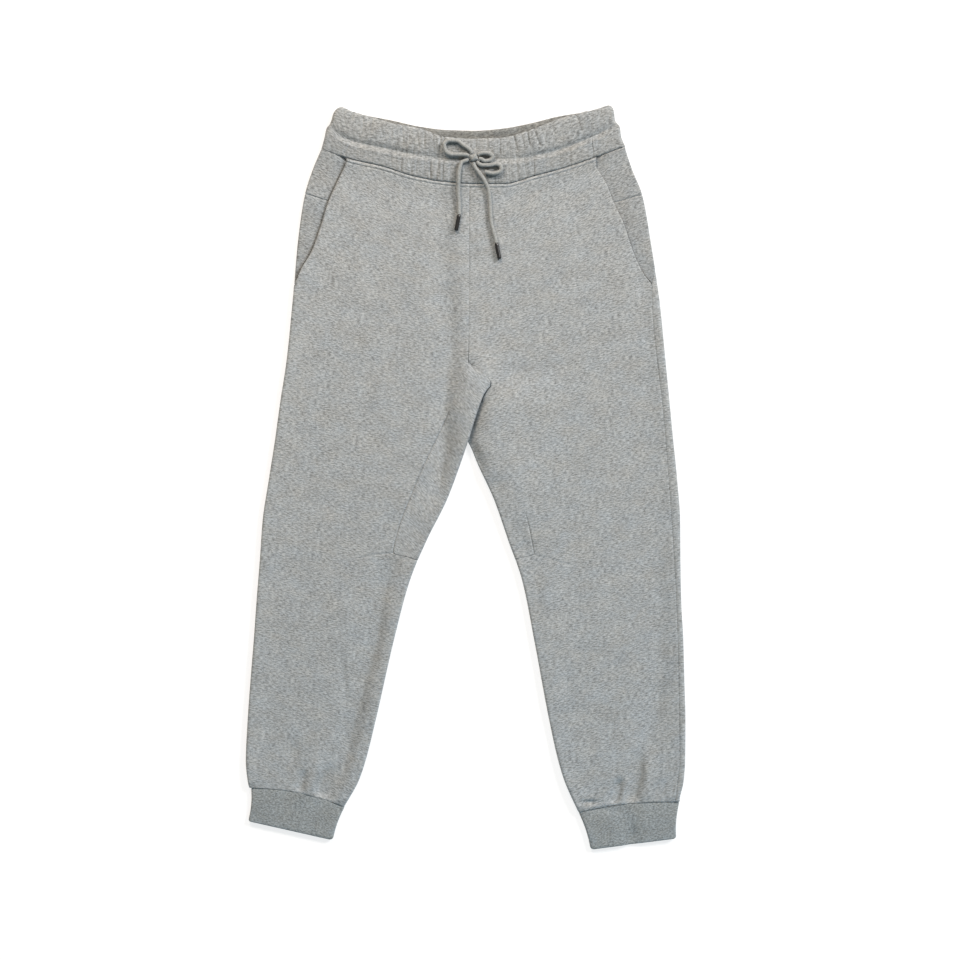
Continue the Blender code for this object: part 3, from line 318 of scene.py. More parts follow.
# Crest of the right leg's inner fold.
INNER_CREST = (
    # y, z
    (0.165, 0.0122), (0.13, 0.0152), (0.1, 0.0162), (0.065, 0.0162), (0.035, 0.0142), (0.0, 0.011),
    (-0.05, 0.0084),
)
TROUGH_FLOOR = THINNEST
CLIMB_WIDTH = 0.0380  # most that the climb takes, from the trough to the crest
CLIMB = (
    # share of the way, share of the height
    (0.0, 0.0), (0.1, 0.11), (0.3, 0.42), (0.5, 0.71), (0.7, 0.9), (0.85, 0.975), (1.0, 1.0),
)
CREST_REACH = 0.0300  # how far beyond the crest the cloth comes down again
# Steep side of the left leg that faces the right leg's fold, from its foot, and the swelling behind it.
VALLEY_FOOT = 0.0030
VALLEY = (
    # distance from the foot, height above it
    (0.0, 0.0), (0.004, 0.0036), (0.01, 0.0082), (0.016, 0.0112), (0.022, 0.0127), (0.032, 0.0134),
)
THIGH_RISE = 0.0080
THIGH_MIDDLE = 0.0280  # distance of the swelling from the foot
THIGH_REACHES = (0.024, 0.060)  # how far it goes, towards the foot and away from it
# Seams sewn inside a panel: a dart at each knee.
DART_WIDTH, DART_DEPTH = 0.0011, 0.00075
DARTS = (
    # points (x, y)
    ((-0.149, -0.114), (-0.129, -0.1085), (-0.101, -0.1065)),
    ((0.0955, -0.1085), (0.117, -0.1142), (0.1463, -0.1232)),
)

# Cuffs: the four corners of each, (x, y), and the levels of their rows from the seam to the hem.
CUFFS = {
    # side: outer edge's seam and hem, inner edge's seam and hem
    -1: (((-0.2995, -0.434), (-0.3038, -0.4815)), ((-0.1685, -0.46), (-0.1855, -0.507))),
    1: (((0.299, -0.4535), (0.2945, -0.5055)), ((0.158, -0.468), (0.175, -0.5205))),
}
CUFF_LEVELS = (0.011, 0.018, 0.03, 0.05, 0.08, *np.linspace(0.12, 0.90, 22), 0.93, 0.955, 0.975, 0.988, 0.996,
               1.0)
HEM_ROUNDING, SEAM_ROUNDING = 0.07, 0.06  # shares of a cuff's length

# Waistband
BAND_WIDTH = 0.400
FRONT_BAND_END = 0.3620  # q of the seam near the left side, where the back band comes round
PUFF_HEIGHT = 0.0017  # how far a channel swells above the groove
GATHER_HEIGHT = 0.0008  # how far the gathers' crests stand above that, under the drawcord
CREASE_DEPTH = 1.1  # times the depths in the table of creases
CREASE_REACH = 0.0070  # how far a crease draws the cloth down on either side
PLEAT_MIDDLE = 0.4500  # y that the small pleats lean about
GROOVE_REACH = 0.0040
SEWN_DEPTH = 0.0021  # of the waist seam
SEWN_REACH = 0.0010
# Creases of the front band's gathers.
BAND_CREASES = (
    # x and y of its upper end, x and y of its lower end, half width, depth
    (-0.1701, 0.5138, -0.1694, 0.4942, 0.0012, 0.0008), (-0.1603, 0.5096, -0.1589, 0.4984, 0.0012, 0.0005),
    (-0.1428, 0.504, -0.1435, 0.4858, 0.0012, 0.0009), (-0.1302, 0.4984, -0.1323, 0.4774, 0.0011, 0.0008),
    (-0.1197, 0.4956, -0.1141, 0.4718, 0.0012, 0.0007), (-0.1015, 0.4928, -0.1043, 0.4704, 0.0011, 0.0008),
    (-0.0889, 0.4914, -0.0868, 0.4648, 0.001, 0.001), (-0.0777, 0.4886, -0.0791, 0.4676, 0.0009, 0.0008),
    (-0.0679, 0.4858, -0.0651, 0.4592, 0.001, 0.0011), (-0.0567, 0.483, -0.0581, 0.4606, 0.0009, 0.0009),
    (-0.0455, 0.4802, -0.0441, 0.4564, 0.001, 0.0011), (-0.0357, 0.4774, -0.035, 0.455, 0.0009, 0.0013),
    (-0.0294, 0.4774, -0.0308, 0.4634, 0.0009, 0.0015), (-0.0133, 0.4746, -0.0133, 0.4662, 0.001, 0.0008),
    (0.0147, 0.476, 0.0147, 0.4578, 0.0009, 0.0011), (0.0301, 0.4746, 0.0287, 0.4578, 0.0011, 0.0008),
    (0.0477, 0.4746, 0.0483, 0.4522, 0.001, 0.0014), (0.0567, 0.476, 0.0581, 0.4578, 0.0009, 0.0008),
    (0.0679, 0.476, 0.0721, 0.4564, 0.001, 0.0013), (0.0777, 0.4788, 0.0819, 0.4606, 0.001, 0.0009),
    (0.0861, 0.4802, 0.0903, 0.462, 0.0009, 0.0014), (0.0959, 0.4844, 0.1036, 0.4634, 0.001, 0.0014),
    (0.1057, 0.4872, 0.1113, 0.4676, 0.0011, 0.0007), (0.119, 0.4928, 0.1239, 0.4802, 0.0011, 0.0009),
    (0.1239, 0.4802, 0.1323, 0.4753, 0.0011, 0.0007), (0.1323, 0.4753, 0.1533, 0.4816, 0.0012, 0.0005),
    (0.1547, 0.5054, 0.1617, 0.4844, 0.0012, 0.0011), (0.1708, 0.5124, 0.1743, 0.497, 0.0009, 0.0016),
    (0.1743, 0.497, 0.1806, 0.4809, 0.0009, 0.0016), (0.1897, 0.5152, 0.1925, 0.4942, 0.0016, 0.0004),
    (-0.1631, 0.462, -0.1687, 0.4515, 0.0011, 0.0012), (-0.1505, 0.4634, -0.1519, 0.448, 0.0013, 0.0005),
    (-0.1365, 0.4592, -0.1379, 0.4452, 0.0013, 0.0005), (-0.1197, 0.455, -0.1211, 0.4396, 0.0012, 0.0005),
    (-0.1043, 0.4508, -0.1029, 0.4326, 0.0011, 0.0007), (-0.0889, 0.4466, -0.0903, 0.4284, 0.001, 0.0008),
    (-0.0791, 0.4466, -0.0763, 0.4256, 0.001, 0.0008), (-0.0679, 0.4438, -0.0693, 0.4242, 0.001, 0.0012),
    (-0.0581, 0.4424, -0.0567, 0.4214, 0.001, 0.0008), (-0.049, 0.441, -0.049, 0.4186, 0.001, 0.0012),
    (-0.0403, 0.4396, -0.0406, 0.4158, 0.001, 0.0012), (-0.0318, 0.4368, -0.0322, 0.4144, 0.001, 0.0012),
    (-0.0217, 0.4354, -0.0217, 0.413, 0.001, 0.0012), (-0.0123, 0.4326, -0.0126, 0.413, 0.001, 0.001),
    (0.0063, 0.427, 0.0063, 0.4116, 0.001, 0.0007), (0.0175, 0.427, 0.0182, 0.4116, 0.001, 0.0008),
    (0.0441, 0.4214, 0.0455, 0.4116, 0.001, 0.0005), (0.0595, 0.4396, 0.0609, 0.4116, 0.001, 0.0008),
    (0.0707, 0.4438, 0.0721, 0.4144, 0.001, 0.0008), (0.0819, 0.4466, 0.0847, 0.4172, 0.001, 0.0007),
    (0.0945, 0.448, 0.0959, 0.4214, 0.0011, 0.0007), (0.1113, 0.4508, 0.1127, 0.427, 0.0011, 0.0005),
    (0.1309, 0.455, 0.1323, 0.4326, 0.0011, 0.0008), (0.1449, 0.4592, 0.1463, 0.4368, 0.0011, 0.0008),
    (0.1771, 0.4718, 0.1785, 0.4466, 0.0011, 0.0012), (0.2009, 0.476, 0.2016, 0.462, 0.0011, 0.0007),
)
# Levels of the band's rows: 0 at the top edge, 1 at the groove, 2 at the waist seam.
ACROSS = (0.0, 0.004, 0.015, 0.035, 0.06, 0.085, 0.12, *np.linspace(0.16, 0.94, 20), 0.965, 0.985, 1.0, 1.015,
          1.035, *np.linspace(1.06, 1.88, 20), 1.91, 1.935, 1.955, 1.970, 1.980, 1.989)

# Drawcord. Each run leaves the knot at an angle in degrees, follows its points (x, y), and goes back to the
# knot at a second angle or lies free. The free ends' last points are those of their tips.
LOOP_A = ((-0.0045, 0.4635), (-0.0120, 0.4685), (-0.0235, 0.4690), (-0.0297, 0.4630), (-0.0275, 0.4545),
          (-0.0195, 0.4495), (-0.0085, 0.4495))
LOOP_B = ((0.0270, 0.4518), (0.0340, 0.4505), (0.0380, 0.4460), (0.0340, 0.4415), (0.0270, 0.4405))
LOOP_C = ((0.0235, 0.4345), (0.0330, 0.4345), (0.0420, 0.4360), (0.0485, 0.4340), (0.0500, 0.4290),
          (0.0460, 0.4245), (0.0380, 0.4230), (0.0272, 0.4252))
END_RIGHT = ((-0.0050, 0.4385), (-0.0083, 0.4290), (-0.0095, 0.4190), (-0.0100, 0.3980), (-0.0090, 0.3820),
             (-0.0088, 0.3680), (-0.0130, 0.3435))
END_LEFT = ((0.0137, 0.4310), (0.0186, 0.4245), (0.0265, 0.4130), (0.0325, 0.3980), (0.0340, 0.3820),
            (0.0355, 0.3580), (0.0400, 0.3390), (0.0430, 0.3275), (0.0475, 0.3040))
CORDS = (
    # name, tip, first angle, second angle, points
    ("cord_loop_a", None, 112.0, 157.0, LOOP_A),
    ("cord_loop_b", None, 35.0, -10.0, LOOP_B),
    ("cord_loop_c", None, -52.0, None, LOOP_C),
    ("cord_end_right", "cord_tip_right", 202.0, None, END_RIGHT),
    ("cord_end_left", "cord_tip_left", 272.0, None, END_LEFT),
)


def smooth(at, xs, ys):
    """Values at `at` of the smooth curve through the points (xs, ys), which overshoots none of them."""
    xs, ys = np.asarray(xs, float), np.asarray(ys, float)
    if xs[0] > xs[-1]:
        xs, ys = xs[::-1], ys[::-1]
    at = np.clip(np.asarray(at, float), xs[0], xs[-1])
    step = np.diff(xs)
    slope = np.diff(ys) / step
    tangent = np.zeros(len(xs))
    product = slope[:-1] * slope[1:]
    same = product > 0  # where both neighbouring slopes go the same way
    w1, w2 = 2 * step[1:] + step[:-1], step[1:] + 2 * step[:-1]
    tangent[1:-1] = np.where(same, (w1 + w2) * product / (w1 * slope[1:] + w2 * slope[:-1] + ~same), 0.0)
    tangent[0], tangent[-1] = slope[0], slope[-1]
    k = np.clip(np.searchsorted(xs, at, side="right") - 1, 0, len(xs) - 2)
    t = (at - xs[k]) / step[k]
    bent = step[k] * t * (1 - t) * (tangent[k] * (1 - t) - tangent[k + 1] * t)
    return ys[k] * (1 + 2 * t) * (1 - t) ** 2 + ys[k + 1] * t * t * (3 - 2 * t) + bent


def column(table, number, at):
    """A table's column read at a value of its first column."""
    return smooth(at, [row[0] for row in table], [row[number] for row in table])


def ramp(value, low, high):
    """0 at low, 1 at high, smooth between. Most calls fade a form in or out between two places in x or y."""
    t = np.clip((value - low) / (high - low), 0.0, 1.0)
    return t * t * (3 - 2 * t)


def bell(value, reach):
    """1 at 0, and smoothly less on both sides."""
    return np.exp(-((value / reach) ** 2))


def blend(start, end, share):
    """A share of the way from one value to another."""
    return start + (end - start) * share


def distance_to_path(x, y, points):
    """Distance from each (x, y) to a chain of straight runs."""
    best = np.full(np.shape(x), 1e9)
    for (ax, ay), (bx, by) in zip(points, points[1:]):
        length = math.hypot(bx - ax, by - ay)
        t = np.clip(((x - ax) * (bx - ax) + (y - ay) * (by - ay)) / length**2, 0.0, 1.0)
        best = np.minimum(best, np.hypot(x - ax - t * (bx - ax), y - ay - t * (by - ay)))
    return best


def spaced(dense, density, count=None):
    """Values among `dense`, as close together as the density there says, or `count` of them in its ratio."""
    total = np.concatenate([[0.0], np.cumsum((density[1:] + density[:-1]) / 2 * np.diff(dense))])
    return np.interp(np.linspace(0.0, total[-1], count or int(total[-1])), total, dense)


def stretches(stops, counts):
    """Values along the stretches between stops, a count for each, without the last stop."""
    return np.concatenate([np.linspace(a, b, count)[:-1] for a, b, count in zip(stops, stops[1:], counts)])


def wave(seed, x, y, size):
    """Smooth uneven relief of about -1 to 1, with bumps of the given size."""
    dice = np.random.default_rng(seed)
    angle, phase = dice.uniform(0, math.tau, 9), dice.uniform(0, math.tau, 9)
    stretch = dice.uniform(0.6, 1.6, 9)
    run = (np.multiply.outer(x, np.cos(angle)) + np.multiply.outer(y, np.sin(angle))) * stretch
    return np.sin(math.tau * run / size + phase).sum(axis=-1) / 4.0


def folded(x, y, left, right, points):
    """Relief of a fold through points (y, x, height), with its half width on either side."""
    ys, xs, heights = zip(*points)
    beside = x - smooth(y, ys, xs)
    return smooth(y, ys, heights) * bell(beside, np.where(beside < 0, left, right))


def waist_seam(x):
    """y of the waist seam at x."""
    return column(BAND_LENGTHWISE, 4, (x - SEAM_RIGHT) / (SEAM_LEFT - SEAM_RIGHT))


def plain_top(x, y, side):
    """Height of the front with its folds, before one leg climbs over the other."""
    to_outer = np.minimum(np.abs(x - column(OUTER_EDGES, 1, y)), np.abs(column(OUTER_EDGES, 2, y) - x))
    to_inner = np.abs(x - column(RIGHT_INNER if side < 0 else LEFT_INNER, 1, y))
    z = BODY_TOP + LIFT + EDGE_RISE * np.maximum(
        bell(to_outer, EDGE_REACH), ramp(y, 0.060, 0.020) * bell(to_inner, EDGE_REACH)
    )
    if side < 0:
        z = z + EDGE_RISE * ramp(y, -0.10, -0.25) * bell(to_inner - 0.004, CALF_REACH)
    z = z + WAIST_RISE * bell(waist_seam(x) - y, WAIST_REACH)
    z = z + CROTCH_RISE * bell(np.hypot(x - CROTCH[0], y - CROTCH[1]), CROTCH_REACH)
    z = z + sum(folded(x, y, *fold) for fold in FOLDS)
    for at_x, at_y, reach_x, reach_y, height in DENTS:
        z = z + height * bell(x - at_x, reach_x) * bell(y - at_y, reach_y)
    z = z + 0.00022 * wave(3, x, y, 0.085) + 0.00008 * wave(7, x, y, 0.030)
    return np.clip(z + ANKLE_RISE * ramp(y, -0.34, -0.42), THINNEST, HIGHEST_TOP)


def front_top(x, y, side):
    """Height of the front's upper surface. side is -1 on the wearer's right and +1 on the left."""
    z = plain_top(x, y, side)

    # The right leg climbs from the trough to the crest of its fold, and the cloth comes down again beyond it.
    start, fold = column(INNER_TROUGH, 1, y), column(RIGHT_INNER, 1, y)
    end = np.minimum(fold, start + CLIMB_WIDTH)
    share, beyond = (x - start) / (end - start), np.maximum(x - end, 0.0)
    crest = np.maximum(column(INNER_CREST, 1, y), z)
    climbed = blend(TROUGH_FLOOR, crest, column(CLIMB, 1, share))
    climbed = np.where(beyond > 0, blend(z, crest, bell(beyond, CREST_REACH)), climbed)
    over = ramp(y, -0.045, 0.020) * ramp(y, 0.205, 0.160) * ramp(share, -0.06, 0.12)
    if side > 0:
        over = over * ramp(y, 0.100, 0.134)
    z = blend(z, climbed, over) + folded(x, y, *FLAP_FOLD)
    if side < 0:
        return z

    # The left leg falls steeply towards its inner edge or the right leg's fold, whichever is further out.
    inner = column(LEFT_INNER, 1, y)
    foot = (fold + inner) / 2 + np.hypot((fold - inner) / 2, 0.0035) - 0.0020
    beyond = np.maximum(x - foot, 0.0)
    swelling = THIGH_RISE * bell(beyond - THIGH_MIDDLE, np.where(beyond < THIGH_MIDDLE, *THIGH_REACHES))
    z = z + swelling * ramp(y, 0.150, 0.095) * ramp(y, -0.110, 0.045)
    falling = np.minimum(VALLEY_FOOT + column(VALLEY, 1, beyond), z)
    return blend(z, falling, ramp(y, 0.134, 0.092) * ramp(y, -0.004, 0.040))


def pocket_lift(x, y, pocket_edge, side):
    """How far the pocket's edge stands up over the pieces tucked under it."""
    height = POCKET_RISE if side < 0 else 0.0006 + 0.0006 * ramp(y, 0.34, 0.39)
    return height * bell(x - column(pocket_edge, 1, y), POCKET_REACH) * ramp(y, 0.262, 0.285)


class Leg:
    """One leg with its half of the hips: a flattened tube that rows run across."""

    def __init__(self, name, side, rows, inner_edge, pocket_edge, front_seam, back_inner):
        self.name, self.side, self.rows, self.inner_edge = name, side, rows, inner_edge
        self.pocket_edge, self.front_seam, self.back_inner = pocket_edge, front_seam, back_inner
        self.waist_ends = self.edges(*rows[0][:2])
        seams = [0.0, self.v_at(YOKE_SEAMS[side]), self.v_at(FACING_ENDS[side]),
                 self.v_at(THIGH_TOPS[side], 1), self.v_at(THIGH_END, 1), 1.0]
        marks = [(v, 0.0035) for v in seams[1:-1]]
        marks += [(0.0, 0.009), (self.v_at(KNEE, 1), 0.013), (1.0, 0.028)]
        dense = np.linspace(0.0, 1.0, 4000)
        density = np.full(len(dense), LEG_LENGTH / ROW_PITCH)
        for v, reach in marks:
            density[np.abs(dense - v) < reach / LEG_LENGTH] = LEG_LENGTH / FINE_PITCH
        levels = spaced(dense, density)
        self.levels = np.array([v for v in levels if min(abs(v - seam) for seam in seams) > 0.0003])
        self.cuff_row = self.row(1.0)

    def edges(self, y_outer, y_inner):
        """x of the outer edge at one y, and of the inner edge at another."""
        outer = column(OUTER_EDGES, 1 if self.side < 0 else 2, y_outer)
        return outer.item(), column(self.inner_edge, 1, y_inner).item()

    def between(self, v_start, v_end):
        """The rows from v_start to v_end."""
        inner = self.levels[(self.levels > v_start) & (self.levels < v_end)]
        return [self.row(v) for v in (v_start, *inner, v_end)]

    def row(self, v):
        """The row at v, from 0 at the waist seam to 1 at the cuff seam."""
        shares = np.linspace(0.0, 1.0, len(self.rows))
        y0, y1, waist, bow = (smooth(v, shares, values).item() for values in zip(*self.rows))
        x0, x1 = self.edges(y0, y1)
        return Row(self, x0, y0, x1, y1, waist, bow, v)

    def v_at(self, y, edge=0):
        """The v of the row that meets the leg's outer (0) or inner (1) edge at y."""
        ys = [row[edge] for row in self.rows]
        fine = np.linspace(0.0, 1.0, 2001)
        heights = smooth(fine, np.linspace(0.0, 1.0, len(ys)), ys)
        return float(fine[np.argmin(np.abs(heights - y))])

    def top(self, x, y):
        """Height of the front, which comes to the cuff's height at the cuff seam."""
        z = front_top(x, y, self.side) + pocket_lift(x, y, self.pocket_edge, self.side)
        return blend(z, CUFF_TOP + 0.0009, 0.75 * bell(y - self.cuff_row.y(x), CUFF_SEAM_REACH))

    def side_top(self, x, y):
        """Height beyond the pocket edge: low where pieces are tucked in, full at the leg's folded edge."""
        outside = self.side * (x - column(self.pocket_edge, 1, y))
        tucked = FACING_TOP if self.side < 0 else blend(FACING_TOP, EDGE_TOP, 0.45)
        beside_pocket = blend(tucked, EDGE_TOP, ramp(outside, 0.002, 0.020))
        below_band = bell(waist_seam(x) - y, 0.012) * ramp(outside, 0.001, 0.012)
        return blend(front_top(x, y, self.side), beside_pocket + 0.0024 * below_band, ramp(y, 0.255, 0.275))


class Row:
    """A line across a leg, and the tube's section along it."""

    def __init__(self, leg, x0, y0, x1, y1, waist, bow, v):
        self.leg = leg
        self.x0, self.y0, self.x1, self.y1 = x0, y0, x1, y1
        self.waist, self.bow, self.v = waist, bow, v
        self.width = abs(x1 - x0)

    def y(self, x):
        """y of the row's line at x."""
        share = np.clip((x - self.x0) / (self.x1 - self.x0), 0.0, 1.0)
        y = blend(self.y0, self.y1, share) + self.bow * np.sin(math.pi * share)
        if self.waist > 0:
            on_seam = waist_seam(blend(*self.leg.waist_ends, share))
            y = y + self.waist * (on_seam - blend(*self.leg.rows[0][:2], share))
        return y

    def crossing(self, seam):
        """Distance from the outer edge to where the row crosses a seam of the front."""
        x = 0.5 * (self.x0 + self.x1)
        for _ in range(12):
            x = 0.5 * x + 0.5 * column(seam, 1, self.y(x))
        return float(np.clip(-self.leg.side * (x - self.x0), 0.0, self.width))

    def section(self, q, top, outer, inner):
        """Outer and inner points at distances q from the outer edge, over the front where q is positive and
        under the garment where it is negative, or more than the row's width. They lie at depths `outer` and
        `inner` within the cloth."""
        near_outer = q < self.width / 2
        inside = np.where(near_outer, q, self.width - q)
        edge = np.where(near_outer, self.x0, self.x1)
        inward = np.where(near_outer, -self.leg.side, self.leg.side)
        lifted = column(FLAP_FLOOR, 1, self.y1).item() if self.leg.side < 0 else 0.0
        floor = np.where(near_outer, 0.0, lifted)
        radius = np.where(near_outer | (lifted <= 0.0), FOLD_RADIUS, FOLD_RADIUS - 0.4 * lifted / 2)
        flat_x = edge + inward * np.abs(inside)
        crest_x = edge + inward * np.maximum(np.abs(inside), radius)
        crest = top(crest_x, self.y(crest_x))
        angle = 0.5 * math.pi * np.clip(inside / radius, -1.0, 1.0)
        points = []
        for offset in (outer * (1 + np.sin(angle)) / 2, inner):
            arc_x = edge + inward * (radius - (radius - offset) * np.cos(angle) ** 0.7)
            x = np.where(np.abs(inside) < radius, arc_x, flat_x)
            z = (crest + floor) / 2 + ((crest - floor) / 2 - offset) * np.sin(angle)
            points.append(np.stack([x, self.y(x), z], axis=-1))
        return points


RIGHT_LEG = Leg(
    "right", -1, RIGHT_ROWS, RIGHT_INNER, RIGHT_POCKET_EDGE, RIGHT_FRONT_SEAM, RIGHT_BACK_INNER)
LEFT_LEG = Leg("left", 1, LEFT_ROWS, LEFT_INNER, LEFT_POCKET_EDGE, LEFT_FRONT_SEAM, LEFT_BACK_INNER)
LEGS = (RIGHT_LEG, LEFT_LEG)


class Looks:
    """A procedural material: a Principled BSDF and the nodes before it."""

    def __init__(self, name, roughness, sheen=0.0, specular=0.25):
        self.material = bpy.data.materials.new(name)
        self.material.use_nodes = True
        self.tree = self.material.node_tree
        self.shader = self.tree.nodes["Principled BSDF"]
        self.fill(self.shader, {"Roughness": roughness, "Specular IOR Level": specular,
                                "Sheen Weight": sheen, "Sheen Roughness": 0.6})

    def fill(self, node, inputs):
        """Sets a node's inputs, and links those that are given another node's output."""
        for key, value in inputs.items():
            if isinstance(value, bpy.types.NodeSocket):
                self.tree.links.new(value, node.inputs[key])
            else:
                node.inputs[key].default_value = value

    def node(self, kind, output, inputs, **settings):
        """Adds a node and gives one of its outputs."""
        made = self.tree.nodes.new("ShaderNode" + kind)
        for key, value in settings.items():
            setattr(made, key, value)
        self.fill(made, inputs)
        return made.outputs[output]

    def noise(self, scale, detail, roughness):
        """Noise over the cloth's own UV map, scaled along and across it."""
        uv = self.node("UVMap", "UV", {}, uv_map="cloth")
        place = self.node("Mapping", "Vector", {"Vector": uv, "Scale": scale})
        return self.node("TexNoise", "Fac", {
            "Vector": place, "Scale": 1.0, "Detail": detail, "Roughness": roughness})

    def spread(self, value, half):
        """Brings what lies within `half` of 0.5 to between 0 and 1."""
        limits = {"From Min": 0.5 - half, "From Max": 0.5 + half}
        return self.node("MapRange", "Result", {"Value": value, **limits})

    def mix(self, kind, factor, a, b):
        return self.node("Mix", "Result", {"Factor": factor, "A": a, "B": b}, data_type=kind)

    def woven(self, colour, relief, strength):
        """The material with a colour and a relief."""
        normal = self.node("Bump", "Normal", {"Height": relief, "Strength": strength, "Distance": 0.0004})
        self.fill(self.shader, {"Base Color": colour, "Normal": normal})
        return self.material


def heather(name, light, dark, contrast, streak=(195.0, 620.0, 1.0)):
    """Heather knit: pale and dark fibres in short streaks along the courses, cloudy, with a warm and cool
    cast."""
    looks = Looks(name, 0.95, 0.12)
    fibres = looks.noise(streak, 2.0, 0.8)
    clouds = looks.noise((34.0, 44.0, 1.0), 4.0, 0.7)
    cast = looks.spread(looks.noise((26.0, 34.0, 1.0), 5.0, 0.75), 0.16)
    relief = looks.mix("FLOAT", 0.17, fibres, clouds)
    dark, light = (
        looks.mix("RGBA", cast, (r * 0.972, g, b * 1.028, 1.0), (r * 1.028, g, b * 0.962, 1.0))
        for r, g, b in (dark, light)
    )
    return looks.woven(looks.mix("RGBA", looks.spread(relief, contrast), dark, light), relief, 0.2)


def braid_material(name):
    """Round cotton braid: crossing strands."""
    looks = Looks(name, 0.9, 0.15)
    strands = looks.noise((520.0, 520.0, 1.0), 2.0, 0.6)
    dark, light = (0.196, 0.204, 0.200, 1.0), (0.300, 0.313, 0.308, 1.0)
    return looks.woven(looks.mix("RGBA", looks.spread(strands, 0.15), dark, light), strands, 0.5)


def plain_material(name, roughness, colour, specular=0.25, glow=(1.0, 1.0, 1.0), strength=0.0):
    looks = Looks(name, roughness, specular=specular)
    looks.fill(looks.shader, {
        "Base Color": (*colour, 1.0), "Emission Color": (*glow, 1.0), "Emission Strength": strength})
    return looks.material


FLEECE_KNIT = heather("fleece_knit", (0.414, 0.437, 0.448), (0.124, 0.131, 0.134), 0.155)
# A darker copy of the fleece: painted shade for the side pieces, which lie recessed beside the pocket edges.
SHADED_SIDE_KNIT = heather("shaded_side_knit", (0.370, 0.391, 0.400), (0.109, 0.115, 0.118), 0.148)
BAND_KNIT = heather("band_knit", (0.368, 0.388, 0.396), (0.105, 0.111, 0.113), 0.16)
# A darker, warmer copy of the band knit: painted shade for the back band's inner face behind the front band.
SHADED_INNER_KNIT = heather("shaded_inner_knit", (0.262, 0.268, 0.260), (0.070, 0.073, 0.071), 0.16)
RIB_KNIT = heather("rib_knit", (0.325, 0.352, 0.361), (0.1035, 0.112, 0.1145), 0.150, (300.0, 560.0, 1.0))
BRAID = braid_material("cord_braid")
TIP_BLACK = plain_material("tip_black", 0.28, (0.012, 0.012, 0.013), specular=0.5)


def quads(number):
    """Faces between neighbours in a grid of point numbers."""
    corners = number[:-1, :-1], number[1:, :-1], number[1:, 1:], number[:-1, 1:]
    return np.stack(corners, axis=-1).reshape(-1, 4)


def rings(count, sides):
    """Point numbers of rings of `sides` points, with each ring's first point again at its end."""
    number = np.arange(count * sides).reshape(count, sides)
    return np.concatenate([number, number[:, :1]], axis=1)


def mesh_piece(name, points, faces, flat, material):
    """An object from points, faces and a UV for each point, in metres."""
    mesh = bpy.data.meshes.new(name)
    mesh.from_pydata(points.tolist(), [], faces)
    layer = mesh.uv_layers.new(name="cloth")
    corner = np.zeros(len(mesh.loops), np.int64)
    mesh.loops.foreach_get("vertex_index", corner)
    layer.data.foreach_set("uv", flat[corner].astype(np.float32).ravel())
    shell = bmesh.new()
    shell.from_mesh(mesh)
    bmesh.ops.recalc_face_normals(shell, faces=shell.faces)
    shell.to_mesh(mesh)
    shell.free()
    mesh.shade_smooth()
    mesh.set_sharp_from_angle(angle=math.radians(60))
    mesh.materials.append(material)
    piece = bpy.data.objects.new(name, mesh)
    bpy.context.scene.collection.objects.link(piece)
    return piece


def lofted(name, rows, uvs, material, closed=False):
    """A wall of cloth lofted through rows of (outer, inner) points. A closed wall joins each row's ends."""
    count = len(rows[0][0])
    number = np.arange(len(rows) * 2 * count).reshape(len(rows), 2, count)
    if closed:
        number = np.concatenate([number, number[:, :, :1]], axis=2)
    sheets = [number[:, 0], number[:, 1], number[0], number[-1]]
    if not closed:
        sheets += [number[:, :, 0], number[:, :, -1]]
    points = np.concatenate([side for row in rows for side in row])
    faces = np.concatenate([quads(sheet) for sheet in sheets]).tolist()
    return mesh_piece(name, points, faces, np.repeat(uvs, 2, axis=0).reshape(-1, 2), material)


def settle(piece, node):
    """Puts a piece on the body, in place of its solid."""
    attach(piece, "root")
    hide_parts(node)


def lay(piece, node):
    """Settles a piece of cloth."""
    settle(piece, node)


def panel(node, rows, columns, start, end, top, dips=(0.0008, 0.0008), row_dips=(0.0008, 0.0008),
          slant=0.20, detail=None, finer=None, material=FLEECE_KNIT):
    """A panel between two boundaries, each a function of a row that gives a distance q. The cloth turns down
    by `dips` at its two sides and by `row_dips` at its first and last row. Its points lie closer together at
    its sides, at the leg's folds and at `finer`, and its courses slant."""
    points, uvs = [], []
    for row in rows:
        q_start, q_end = start(row), end(row)
        sign = math.copysign(1.0, q_end - q_start)
        low, high = q_start + sign * GAP / 2, q_end - sign * GAP / 2
        marks = [(low, 0.0032), (high, 0.0032), (0.0, 0.0045), (row.width, 0.0045)]
        if finer is not None:
            marks.append((finer(row), 0.0030))
        dense = np.linspace(min(low, high), max(low, high), 1500)
        density = np.full(len(dense), 1.0 / COLUMN_PITCH)
        for place, reach in marks:
            density = density + np.exp(-(((dense - place) / reach) ** 4)) / FINE_PITCH
        q = spaced(dense, density, columns)
        if sign < 0:
            q = q[::-1]
        start_dip, end_dip = (dip(row) if callable(dip) else dip for dip in dips)
        outer = start_dip * bell(q - low, SEAM_REACH) + end_dip * bell(q - high, SEAM_REACH)
        for end_row, dip in zip((rows[0], rows[-1]), row_dips):
            outer = outer + dip * bell((row.v - end_row.v) * LEG_LENGTH, SEAM_REACH)
        if detail is not None:
            outer = outer + detail(row, q)
        points.append(row.section(q, top, np.minimum(outer, SHELL - 0.0003), SHELL))
        uvs.append(np.stack([q + 3.0 * row.leg.side, (row.y0 + row.y1) / 2 + slant * q], axis=-1))
    for outermost, inwards in ((0, -GAP / 2), (-1, GAP / 2)):
        for surface in points[outermost]:
            surface[:, 1] += inwards
    lay(lofted("cloth_" + node, points, uvs, material), node)


def pocket_boundary(row):
    """The pocket edge, then on the right round the fold to the underside, on the left the side seam."""
    edge = row.leg.pocket_edge
    above = row.y0 > edge[-1][0]
    if row.leg.side > 0:
        return row.crossing(edge if above else LEFT_SIDE_SEAM)
    return (row.crossing(edge) if above else 0.0) - column(POCKET_WRAP, 1, row.y0).item()


